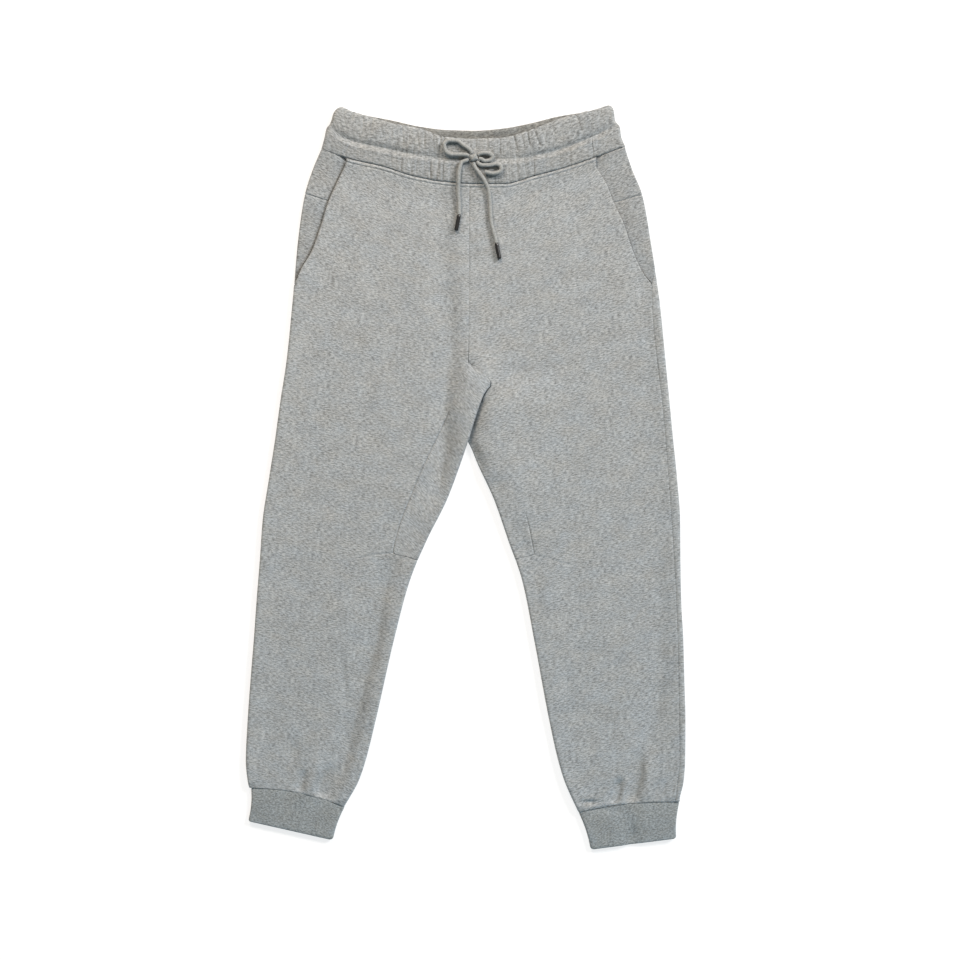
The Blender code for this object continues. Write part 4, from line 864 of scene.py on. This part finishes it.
def side_boundary(row):
    """The side seam: under the garment, and on the front below the left pocket."""
    if row.leg.side < 0:
        return -SIDE_RETURN
    on_front = row.crossing(LEFT_SIDE_SEAM) * ramp(row.y0, 0.300, 0.268).item()
    return on_front - SIDE_RETURN * ramp(row.y0, 0.268, 0.330).item()


def tuck_boundary(row):
    """The hidden edge of the side pieces, which run under the pocket edge."""
    return pocket_boundary(row) + POCKET_TUCK * ramp(row.y0, 0.275, 0.310).item()


def front_boundary(row):
    """The centre, thigh and knee seams, then round the inner fold to the underside."""
    return row.crossing(row.leg.front_seam) + column(KNEE_WRAP, 1, row.y1).item()


def thigh_return(row):
    """How far the inner thigh panel has turned past the leg's inner fold."""
    if row.leg.side < 0:
        return column(RIGHT_THIGH_WRAP, 1, row.y1).item()
    return -column(LEFT_THIGH_END, 1, row.y1).item()


def thigh_boundary(row):
    """The inner thigh panel's other edge. The right one begins at the seam where it leaves the left front."""
    if row.leg.side > 0:
        return row.width + thigh_return(row)
    seam, to_fold = row.crossing(LEFT_FRONT_SEAM), ramp(row.y1, 0.129, 0.118).item()
    return blend(seam, row.width, to_fold) + thigh_return(row)


def back_boundary(row):
    """The centre back seam, then the seam to the inner thigh panel and the front, under the garment."""
    centre = row.leg.back_inner
    if row.y1 > centre[-1][0] - 1e-6:
        return -abs(column(centre, 1, row.y1).item() - row.x0)
    return max(thigh_return(row), FOLD_RADIUS + SEAM_GAP) - row.width


def pocket_dip(row):
    return 0.0011 if row.leg.side < 0 else 0.0004


def front_dip(row):
    """How far a front turns down at its centre seam, faintly, and then at its thigh seam."""
    depth = 0.0013 if row.leg.side < 0 else 0.0010
    return 0.0006 * ramp(row.y1, 0.172, 0.180) + depth * ramp(row.y1, *THIGH_SEAM_STARTS[row.leg.side])


def thigh_dip(row):
    depth = 0.0010 if row.leg.side < 0 else 0.0008
    return depth * ramp(row.y1, *THIGH_SEAM_STARTS[row.leg.side])


def front_detail(row, q):
    """Relief of a front: the topstitched ridge under the waistband, the darts, a dent at the left cuff."""
    depth = row.v * LEG_LENGTH
    relief = np.zeros(len(q))
    if depth < 0.012:
        relief = relief + 0.0006 * (bell(depth - 0.0068, 0.0010) - bell(depth - 0.0036, 0.0018))
    if row.leg.side > 0 and row.v > 0.985:
        relief = relief + 0.0012 * bell(LEG_LENGTH - depth, 0.0024) * bell(row.x0 - q - 0.1960, 0.020)
    if -0.135 < row.y1 < -0.095:
        x = row.x0 - row.leg.side * q
        for points in DARTS:
            relief = relief + DART_DEPTH * bell(distance_to_path(x, row.y(x), points), DART_WIDTH)
    return relief


def side_detail(row, q):
    """Relief of a side piece: it sinks beside the pocket edge."""
    return (0.0010 if row.leg.side < 0 else 0.0005) * bell(q - pocket_boundary(row), 0.0016)


def build_legs():
    for leg in LEGS:
        panel("front_" + leg.name, leg.between(0.0, 1.0), 108, pocket_boundary,
              front_boundary, leg.top, dips=(pocket_dip, front_dip), row_dips=(0.0006, 0.0004),
              detail=front_detail)
    for leg, columns in zip(LEGS, (44, 60)):
        panel("back_" + leg.name, leg.between(0.0, 1.0), columns, side_boundary,
              back_boundary, leg.side_top)
    for leg, flat, area, slant in zip(LEGS, ((0.11, 0.30), (0.09, 0.25)), (0.0160, 0.0105), (0.75, 0.20)):
        rows = leg.between(leg.v_at(THIGH_TOPS[leg.side], 1), leg.v_at(THIGH_END, 1))
        panel("inner_thigh_" + leg.name, rows, 48, front_boundary, thigh_boundary, leg.top,
              dips=(thigh_dip, 0.0), row_dips=(0.0, 0.0008), slant=slant)
    for leg in LEGS:
        v_yoke, v_end = leg.v_at(YOKE_SEAMS[leg.side]), leg.v_at(FACING_ENDS[leg.side])
        # The yoke and the pocket facing take the darker side knit, painted shade.
        for node, v0, v1, flat, area, first_dip in (
            ("side_yoke_", 0.0, v_yoke, (0.07, 0.09), 0.0037, 0.0003 if leg.side < 0 else 0.0011),
            ("pocket_facing_", v_yoke, v_end, (0.06, 0.16), 0.0050, 0.0011),
        ):
            panel(node + leg.name, leg.between(v0, v1), 64, side_boundary, tuck_boundary,
                  leg.side_top, row_dips=(first_dip, 0.0011), slant=0.12, detail=side_detail,
                  finer=pocket_boundary, material=SHADED_SIDE_KNIT)


def pleats(seed, pitch, depth):
    """Small uneven pleats along the band: x of each, its half width, depth and lean."""
    dice = np.random.default_rng(seed)
    x, found = SEAM_RIGHT, []
    while x < SEAM_LEFT:
        x += pitch * dice.uniform(0.5, 1.5)
        half_width, share, lean = dice.uniform(0.16, 0.26), dice.uniform(0.2, 1.0), dice.uniform(-0.12, 0.12)
        found.append((x, pitch * half_width, depth * share, lean))
    return found


def pleated(found, x, y):
    """Relief of small pleats."""
    relief = np.zeros(np.shape(x))
    for place, half_width, depth, lean in found:
        relief = relief - depth / (1 + ((x - place - lean * (y - PLEAT_MIDDLE)) / half_width) ** 2)
    return relief


def creased(x, y):
    """Relief of the creases listed for the front band."""
    relief = np.zeros(np.shape(x))
    for x1, y1, x2, y2, half_width, depth in BAND_CREASES:
        away = distance_to_path(x, y, ((x1, y1), (x2, y2)))
        relief = relief - CREASE_DEPTH * depth / (1 + (away / half_width) ** 2) * bell(away, CREASE_REACH)
    return relief


def swell(channels):
    """How far the band stands up, from 0 at the top edge, groove and waist seam to 1 along each channel."""
    return math.sin(math.pi * (channels % 1.0)) ** 0.7 if 0 < channels < 2 else 0.0


class Waistband:
    """The waistband as a flattened tube of two channels, read at v across it and a share along it."""

    def __init__(self, top_column, by_hand, fine, inside):
        self.top_column, self.by_hand, self.fine, self.inside = top_column, by_hand, fine, inside

    def edges(self, share):
        """y of the top edge and of the waist seam."""
        return column(BAND_LENGTHWISE, self.top_column, share), column(BAND_LENGTHWISE, 4, share)

    def relief(self, x, y, centre):
        """Gathers of the outer surface: those listed one by one, and small ones that are deepest mid-way."""
        found = pleated(self.fine, x, y) * centre
        return found + creased(x, y) if self.by_hand else found

    def place(self, v, share):
        """x and y at v from the top edge (0) to the waist seam (1)."""
        x = blend(column(BAND_SIDES, 1, v), column(BAND_SIDES, 2, v), np.clip(share, 0.0, 1.0))
        return x, blend(*self.edges(share), v)

    def lining(self, channels, x, y, share):
        """Relief of the inner face. The back band's stands up at its top edge, seen behind the front band."""
        relief = -pleated(self.inside, x, y)
        if self.by_hand:
            return relief
        beyond = column(BAND_LENGTHWISE, 2, share) - column(BAND_LENGTHWISE, 1, share)
        return relief - 0.0013 * ramp(beyond, 0.003, 0.010) * (1 - ramp(channels, 0.10, 0.40))

    def crest(self, x, y):
        """Height of the gathers' crests at (x, y)."""
        share = (x - SEAM_RIGHT) / (SEAM_LEFT - SEAM_RIGHT)
        top, seam = self.edges(share)
        groove = column(BAND_LENGTHWISE, 3, share).item()
        v = ((top - y) / (top - seam)).item()
        channels = v / groove if v < groove else 1 + (v - groove) / (1 - groove)
        return BAND_TOP + swell(channels) * (PUFF_HEIGHT + GATHER_HEIGHT)

    def section(self, channels, q):
        """Outer and inner points at distances q from the right side, as for a leg. channels runs from 0 at
        the top edge to 1 at the groove and 2 at the waist seam."""
        near_right = q < BAND_WIDTH / 2
        inside = np.where(near_right, q, BAND_WIDTH - q)
        edge_share, inward = np.where(near_right, 0.0, 1.0), np.where(near_right, 1.0, -1.0)
        share = edge_share + inward * np.abs(inside) / BAND_WIDTH
        groove = column(BAND_LENGTHWISE, 3, share)
        v = groove * channels if channels < 1 else blend(groove, 1.0, channels - 1)
        x, y = self.place(v, share)
        edge_x, _ = self.place(v, edge_share)
        angle = 0.5 * math.pi * np.clip(inside / BAND_FOLD_RADIUS, -1.0, 1.0)
        lining = self.lining(channels, x, y, share)

        # Gathers are deepest mid-way, and the groove is deepest beyond it on both sides.
        centre = 0.55 + 0.45 * (ramp(x, -0.110, -0.070) * ramp(x, 0.130, 0.090)) if self.by_hand else 1.0
        puff = self.relief(x, y, centre) * min(1.0, 0.35 + abs(channels - 1.0) / 0.12)
        puff = puff + swell(channels) * PUFF_HEIGHT
        top_y, seam_y = self.edges(share)
        from_groove, to_seam = (v - groove) * (top_y - seam_y), (1 - v) * (top_y - seam_y)
        off_side = ramp(inside, 0.002, 0.030)
        trough = 0.0023 - 0.0013 * (ramp(x, -0.085, -0.045) * ramp(x, 0.100, 0.060))
        trough = trough * (1 + 0.25 * wave(9, x, 0.0, 0.028)) * (0.1 + 0.9 * off_side)
        puff = puff - trough * bell(from_groove, GROOVE_REACH)
        puff = puff + 0.0010 * off_side * bell(from_groove - 0.0075, 0.0028)
        sewn = SEWN_DEPTH * (0.25 + 0.75 * ramp(x, -0.180, -0.166))
        puff = puff * (1 + np.sin(angle)) / 2 - sewn * bell(to_seam, SEWN_REACH)

        # The top edge is rounded and uneven, its corners are cut off, and the groove pulls the sides in.
        rounding = math.sqrt(1 - (1 - min(channels / 0.12, 1.0)) ** 2)
        near_top = max(0.0, 1 - channels / 0.30)
        y = y + 0.7 * self.relief(x, top_y - 0.004, centre) * near_top * ramp(inside, 0.010, 0.028)
        corner = 0.0036 * (1 - math.sqrt(1 - max(0.0, 1 - channels / 0.22) ** 2))
        pulled = inward * (corner + 0.0007 * bell(channels - 1.0, 0.08))
        edge_x = edge_x + pulled
        x = x + pulled * (1 - ramp(np.abs(inside), BAND_FOLD_RADIUS, 0.022))
        middle, half_wall = (BAND_TOP - BAND) / 2, BAND / 2 * max(rounding, 0.15)
        points = []
        for offset, relief in ((half_wall, puff), (-half_wall, lining)):
            height = middle + offset + relief * rounding
            reach = BAND_FOLD_RADIUS - BAND / 2 + offset
            arc_x = edge_x + inward * (BAND_FOLD_RADIUS - reach * np.cos(angle))
            across = np.where(np.abs(inside) < BAND_FOLD_RADIUS, arc_x, x)
            points.append(np.stack([across, y, BAND_TOP / 2 + height * np.sin(angle)], axis=-1))
        return points


FRONT_BAND = Waistband(1, True, pleats(11, 0.0052, 0.0009), pleats(15, 0.0070, 0.0003))
BACK_BAND = Waistband(2, False, pleats(13, 0.0075, 0.0010), pleats(16, 0.0060, 0.0005))


def build_waistband():
    """The front band wraps round the right side, and the back band comes round the left side onto the
    front."""
    radius, last = BAND_FOLD_RADIUS, 2 * BAND_WIDTH - SIDE_RETURN - SEAM_GAP
    front_stops = (-radius, radius, FRONT_BAND_END)
    back_stops = (FRONT_BAND_END + 0.00012, BAND_WIDTH - radius, BAND_WIDTH + radius, last)
    front_q = [-SIDE_RETURN, -0.0075, *stretches(front_stops, (17, 430)), FRONT_BAND_END]
    back_q = [*stretches(back_stops, (34, 17, 210)), last]
    for name, band, q in (("front", FRONT_BAND, np.array(front_q)), ("back", BACK_BAND, np.array(back_q))):
        rows = [band.section(channels, q) for channels in ACROSS]
        uvs = [np.stack([q, np.full(len(q), -0.024 * channels)], axis=-1) for channels in ACROSS]
        piece = lofted("cloth_waistband_" + name, rows, uvs, BAND_KNIT)
        # The back band's inner face takes the darker knit, painted shade.
        if band is BACK_BAND:
            shade_back_lining(piece, (len(rows) - 1) * (len(q) - 1))
        lay(piece, "waistband_" + name)


def shade_back_lining(piece, faces):
    """Gives the back band's inner face, seen above the front band, a darker knit: painted shade for the
    recess behind the front band.
    """
    piece.data.materials.append(SHADED_INNER_KNIT)
    facing = np.zeros(len(piece.data.polygons), np.int32)
    facing[faces:2 * faces] = 1
    piece.data.polygons.foreach_set("material_index", facing)


def cuff_top(x, y):
    """Height of a cuff, with the hollow in the left one and the dent beside its seam."""
    z = CUFF_TOP + 0.0001 + 0.00030 * wave(5, x, y, 0.045)
    beside = x - 0.2310 - 0.10 * (y + 0.50)
    z = z - 0.0040 * bell(beside, np.where(beside < 0, 0.0058, 0.0150)) * bell(y + 0.5040, 0.018)
    return z - 0.0020 * bell(x - 0.1960, 0.018) * bell(y + 0.4640, 0.006)


def rounded(share):
    """Height of a quarter circle at a share of the way out from its top."""
    return math.sqrt(1 - share**2)


def build_cuffs():
    """Flat tubes of rib, rounded at the hem and a little at the seam."""
    for leg in LEGS:
        rows, uvs = [], []
        for v in CUFF_LEVELS:
            hem = rounded(max(v - 1 + HEM_ROUNDING, 0.0) / HEM_ROUNDING)
            seam = rounded(max(SEAM_ROUNDING - v, 0.0) / SEAM_ROUNDING)
            waisted = leg.side * (0.0020 * math.sin(math.pi * v) + 0.0026 * (1 - hem))
            (x0, y0), (x1, y1) = ([blend(a, b, v) for a, b in zip(*edge)] for edge in CUFFS[leg.side])
            row = Row(leg, x0 - waisted, y0, x1 + waisted, y1, 0.0, leg.rows[-1][3] * (1 - v), 0)
            half, radius, width = row.width / 2, FOLD_RADIUS, row.width
            q = stretches((-half, -radius, radius, width - radius, width + radius, width + half),
                          (24, 15, 64, 15, 24))
            outer, inner = row.section(q, cuff_top, np.zeros(len(q)), RIB)
            middle, pinch = (outer + inner) / 2, max(hem, 0.12) * max(seam, 0.80)
            rows.append([blend(middle, outer, pinch), blend(middle, inner, pinch)])
            uvs.append(np.stack([q, np.full(len(q), -0.05 * v)], axis=-1))
        piece = lofted("cloth_cuff_" + leg.name, rows, uvs, RIB_KNIT, closed=True)
        lay(piece, "cuff_" + leg.name)


def cloth_under(x, y):
    """Height of the cloth that the drawcord lies on."""
    if y > waist_seam(x):
        return FRONT_BAND.crest(x, y)
    return front_top(np.array(x), np.array(y), -1 if x < CENTRE_BACK else 1).item()


def knot_exit(angle):
    """(x, y) just off the knot at an angle, and a point further out along its normal."""
    size = np.array(KNOT_SIZE[:2])
    way = np.array([math.cos(math.radians(angle)), math.sin(math.radians(angle))])
    surface, out = np.array(KNOT) + size * way, way / size / np.linalg.norm(way / size)
    return [surface + out * KNOT_GAP, surface + out * 0.0035]


def lengths(points):
    """Length along a chain of points up to each of them."""
    return np.concatenate([[0.0], np.cumsum(np.linalg.norm(np.diff(points, axis=0), axis=1))])


def route(first_angle, second_angle, points):
    """A smooth line from the knot through points laid on the cloth, and each point's distance from the knot
    along it."""
    points = [*knot_exit(first_angle), *points]
    if second_angle is not None:
        points += knot_exit(second_angle)[::-1]
    points = np.array(points)
    runs = lengths(points)
    count = int(runs[-1] / ROUTE_STEP)
    along = np.linspace(0.0, runs[-1], count)
    x, y = smooth(along, runs, points[:, 0]), smooth(along, runs, points[:, 1])
    z = np.array([cloth_under(a, b) for a, b in zip(x, y)]) + CORD_LIFT + CORD_RADIUS
    reach = int(CORD_EASE / ROUTE_STEP)
    for eased in (np.max, np.mean):
        padded = np.pad(z, reach, mode="edge")
        z = np.array([eased(padded[i:i + 2 * reach + 1]) for i in range(count)])
    from_knot = along if second_angle is None else np.minimum(along, runs[-1] - along)
    return np.stack([x, y, blend(KNOT_HEIGHT, z, ramp(from_knot, 0.003, 0.012))], axis=-1), from_knot


def tube(name, line, radii, material, sides=18, up=(0.0, 0.0, 1.0)):
    """A round tube along a line of points, closed at both ends."""
    direction = np.gradient(line, axis=0)
    direction /= np.linalg.norm(direction, axis=1)[:, None]
    across = np.cross(direction, up)
    across /= np.linalg.norm(across, axis=1)[:, None]
    above = np.cross(across, direction)
    turn = np.linspace(0.0, math.tau, sides, endpoint=False)
    ring = across[:, None] * np.cos(turn)[None, :, None] + above[:, None] * np.sin(turn)[None, :, None]
    points = (line[:, None] + ring * np.asarray(radii)[:, None, None]).reshape(-1, 3)
    flat = np.stack([np.repeat(lengths(line), sides), np.tile(turn * CORD_RADIUS, len(line))], axis=-1)
    number = rings(len(line), sides)
    faces = quads(number).tolist()
    for end, middle in ((number[0].tolist(), len(points)), (number[-1].tolist(), len(points) + 1)):
        faces += [(a, b, middle) for a, b in zip(end, end[1:])]
    points = np.concatenate([points, line[:1], line[-1:]])
    return mesh_piece(name, points, faces, np.concatenate([flat, flat[:1], flat[-1:]]), material)


def build_tip(node, start, aim):
    """A black sleeve on the end of the cord, with a narrow rim at both its ends."""
    rim = [TIP_GAP, TIP_GAP + 0.0004, TIP_GAP + 0.0012]
    end = [TIP_LENGTH - 0.0014, TIP_LENGTH - 0.0005, TIP_LENGTH - 0.0001, TIP_LENGTH]
    steps = np.array([*rim, *np.linspace(TIP_GAP + 0.003, TIP_LENGTH - 0.003, 8), *end])
    radii = TIP_RADIUS * (1 - 0.14 * ramp(steps, TIP_GAP + 0.0010, TIP_GAP))
    radii = radii * (1 - 0.32 * ramp(steps, TIP_LENGTH - 0.0016, TIP_LENGTH) ** 2)
    tip = tube("sleeve_" + node, start + aim * steps[:, None], radii, TIP_BLACK, sides=28)
    settle(tip, node)
    return tip


def build_drawcord():
    """The knot, three bow loops, two free ends and their tips."""
    for name, tip_name, first_angle, second_angle, points in CORDS:
        line, from_knot = route(first_angle, second_angle, points)
        end = len(line) - 1
        if tip_name is not None:
            end -= round(TIP_LENGTH / ROUTE_STEP)
            aim = (line[-1] - line[end]) / np.linalg.norm(line[-1] - line[end])
            build_tip(tip_name, line[end], aim)
        picks = np.linspace(0, end, 2 + round(end * ROUTE_STEP / 0.0012)).astype(int)
        squeezed = blend(SQUEEZE, 1.0, ramp(from_knot[picks], 0.0, 0.005))
        braid = tube("braid_" + name, line[picks], SOFT_CORD_RADIUS * squeezed, BRAID)
        settle(braid, name)
    build_knot()


def build_knot():
    """The knot: a small lump with two turns of cord across it."""
    centre, size = np.array([*KNOT, KNOT_HEIGHT]), np.array(KNOT_SIZE)
    pieces = []
    turn, above = np.linspace(0.0, math.tau, 49)[:, None], np.array([0.0, 0.0, 1.0])
    for name, lean, spread, lift, radius in (
        ("over", 62, 0.62, 0.56, 0.0023),
        ("across", -24, 0.66, 0.40, 0.0021),
    ):
        along = np.array([math.cos(math.radians(lean)), math.sin(math.radians(lean)), 0.0])
        line = size * (spread * np.cos(turn) * along + lift * np.sin(turn) * above) + centre
        pieces.append(tube("braid_knot_" + name, line, np.full(len(line), radius), BRAID,
                           up=(along[1], -along[0], 0.0)))
    levels, sides = 21, 28
    polar, around = np.meshgrid(np.linspace(0.0, math.pi, levels),
                                np.linspace(0.0, math.tau, sides, endpoint=False), indexing="ij")
    way = np.stack([np.sin(polar) * np.cos(around), np.sin(polar) * np.sin(around), np.cos(polar)], axis=-1)
    body = (way * size * 0.80 + centre).reshape(-1, 3)
    flat = 0.006 * np.stack([polar, around], axis=-1).reshape(-1, 2)
    pieces.append(mesh_piece("braid_knot_core", body, quads(rings(levels, sides)).tolist(), flat, BRAID))
    for piece in pieces:
        settle(piece, "cord_knot")


def build_stage():
    """White surface, soft light from the upper right, and the studio's dim surroundings."""
    mesh = bpy.data.meshes.new("surface")
    mesh.from_pydata([(-4, -4, 0), (4, -4, 0), (4, 4, 0), (-4, 4, 0)], [], [(0, 1, 2, 3)])
    mesh.materials.append(plain_material(
        "white_surface", 0.9, (0.35, 0.35, 0.35), glow=(1.0, 0.990, 0.985), strength=FLOOR_GLOW))
    floor = bpy.data.objects.new("surface", mesh)
    floor.location = (0.0, 0.0, -0.0003)
    bpy.context.scene.collection.objects.link(floor)

    world = bpy.data.worlds.new("studio")
    world.use_nodes = True
    sky = world.node_tree.nodes["Background"]
    sky.inputs["Color"].default_value = (1.06, 1.0, 0.88, 1.0)
    sky.inputs["Strength"].default_value = WORLD_STRENGTH
    bpy.context.scene.world = world
    for name, place, size, energy, colour in LIGHTS:
        lamp = bpy.data.lights.new(name, "AREA")
        lamp.shape, lamp.size, lamp.energy, lamp.color = "DISK", size, energy, colour
        light = bpy.data.objects.new(name, lamp)
        light.location = place
        light.rotation_euler = (Vector((0.0, 0.05, 0.0)) - Vector(place)).to_track_quat("-Z", "Y").to_euler()
        bpy.context.scene.collection.objects.link(light)


def build_camera():
    """Straight above, as in the photo."""
    lens = bpy.data.cameras.new("camera")
    lens.lens, lens.sensor_width, lens.clip_end = 85.0, 36.0, 20.0
    camera = bpy.data.objects.new("camera", lens)
    camera.location = (0.0203, -0.0042, 3.1733)
    bpy.context.scene.collection.objects.link(camera)
    bpy.context.scene.camera = camera
    bpy.context.scene.view_settings.view_transform = "Standard"


build_camera()
build_drawcord()
build_legs()
build_waistband()
build_cuffs()
build_stage()
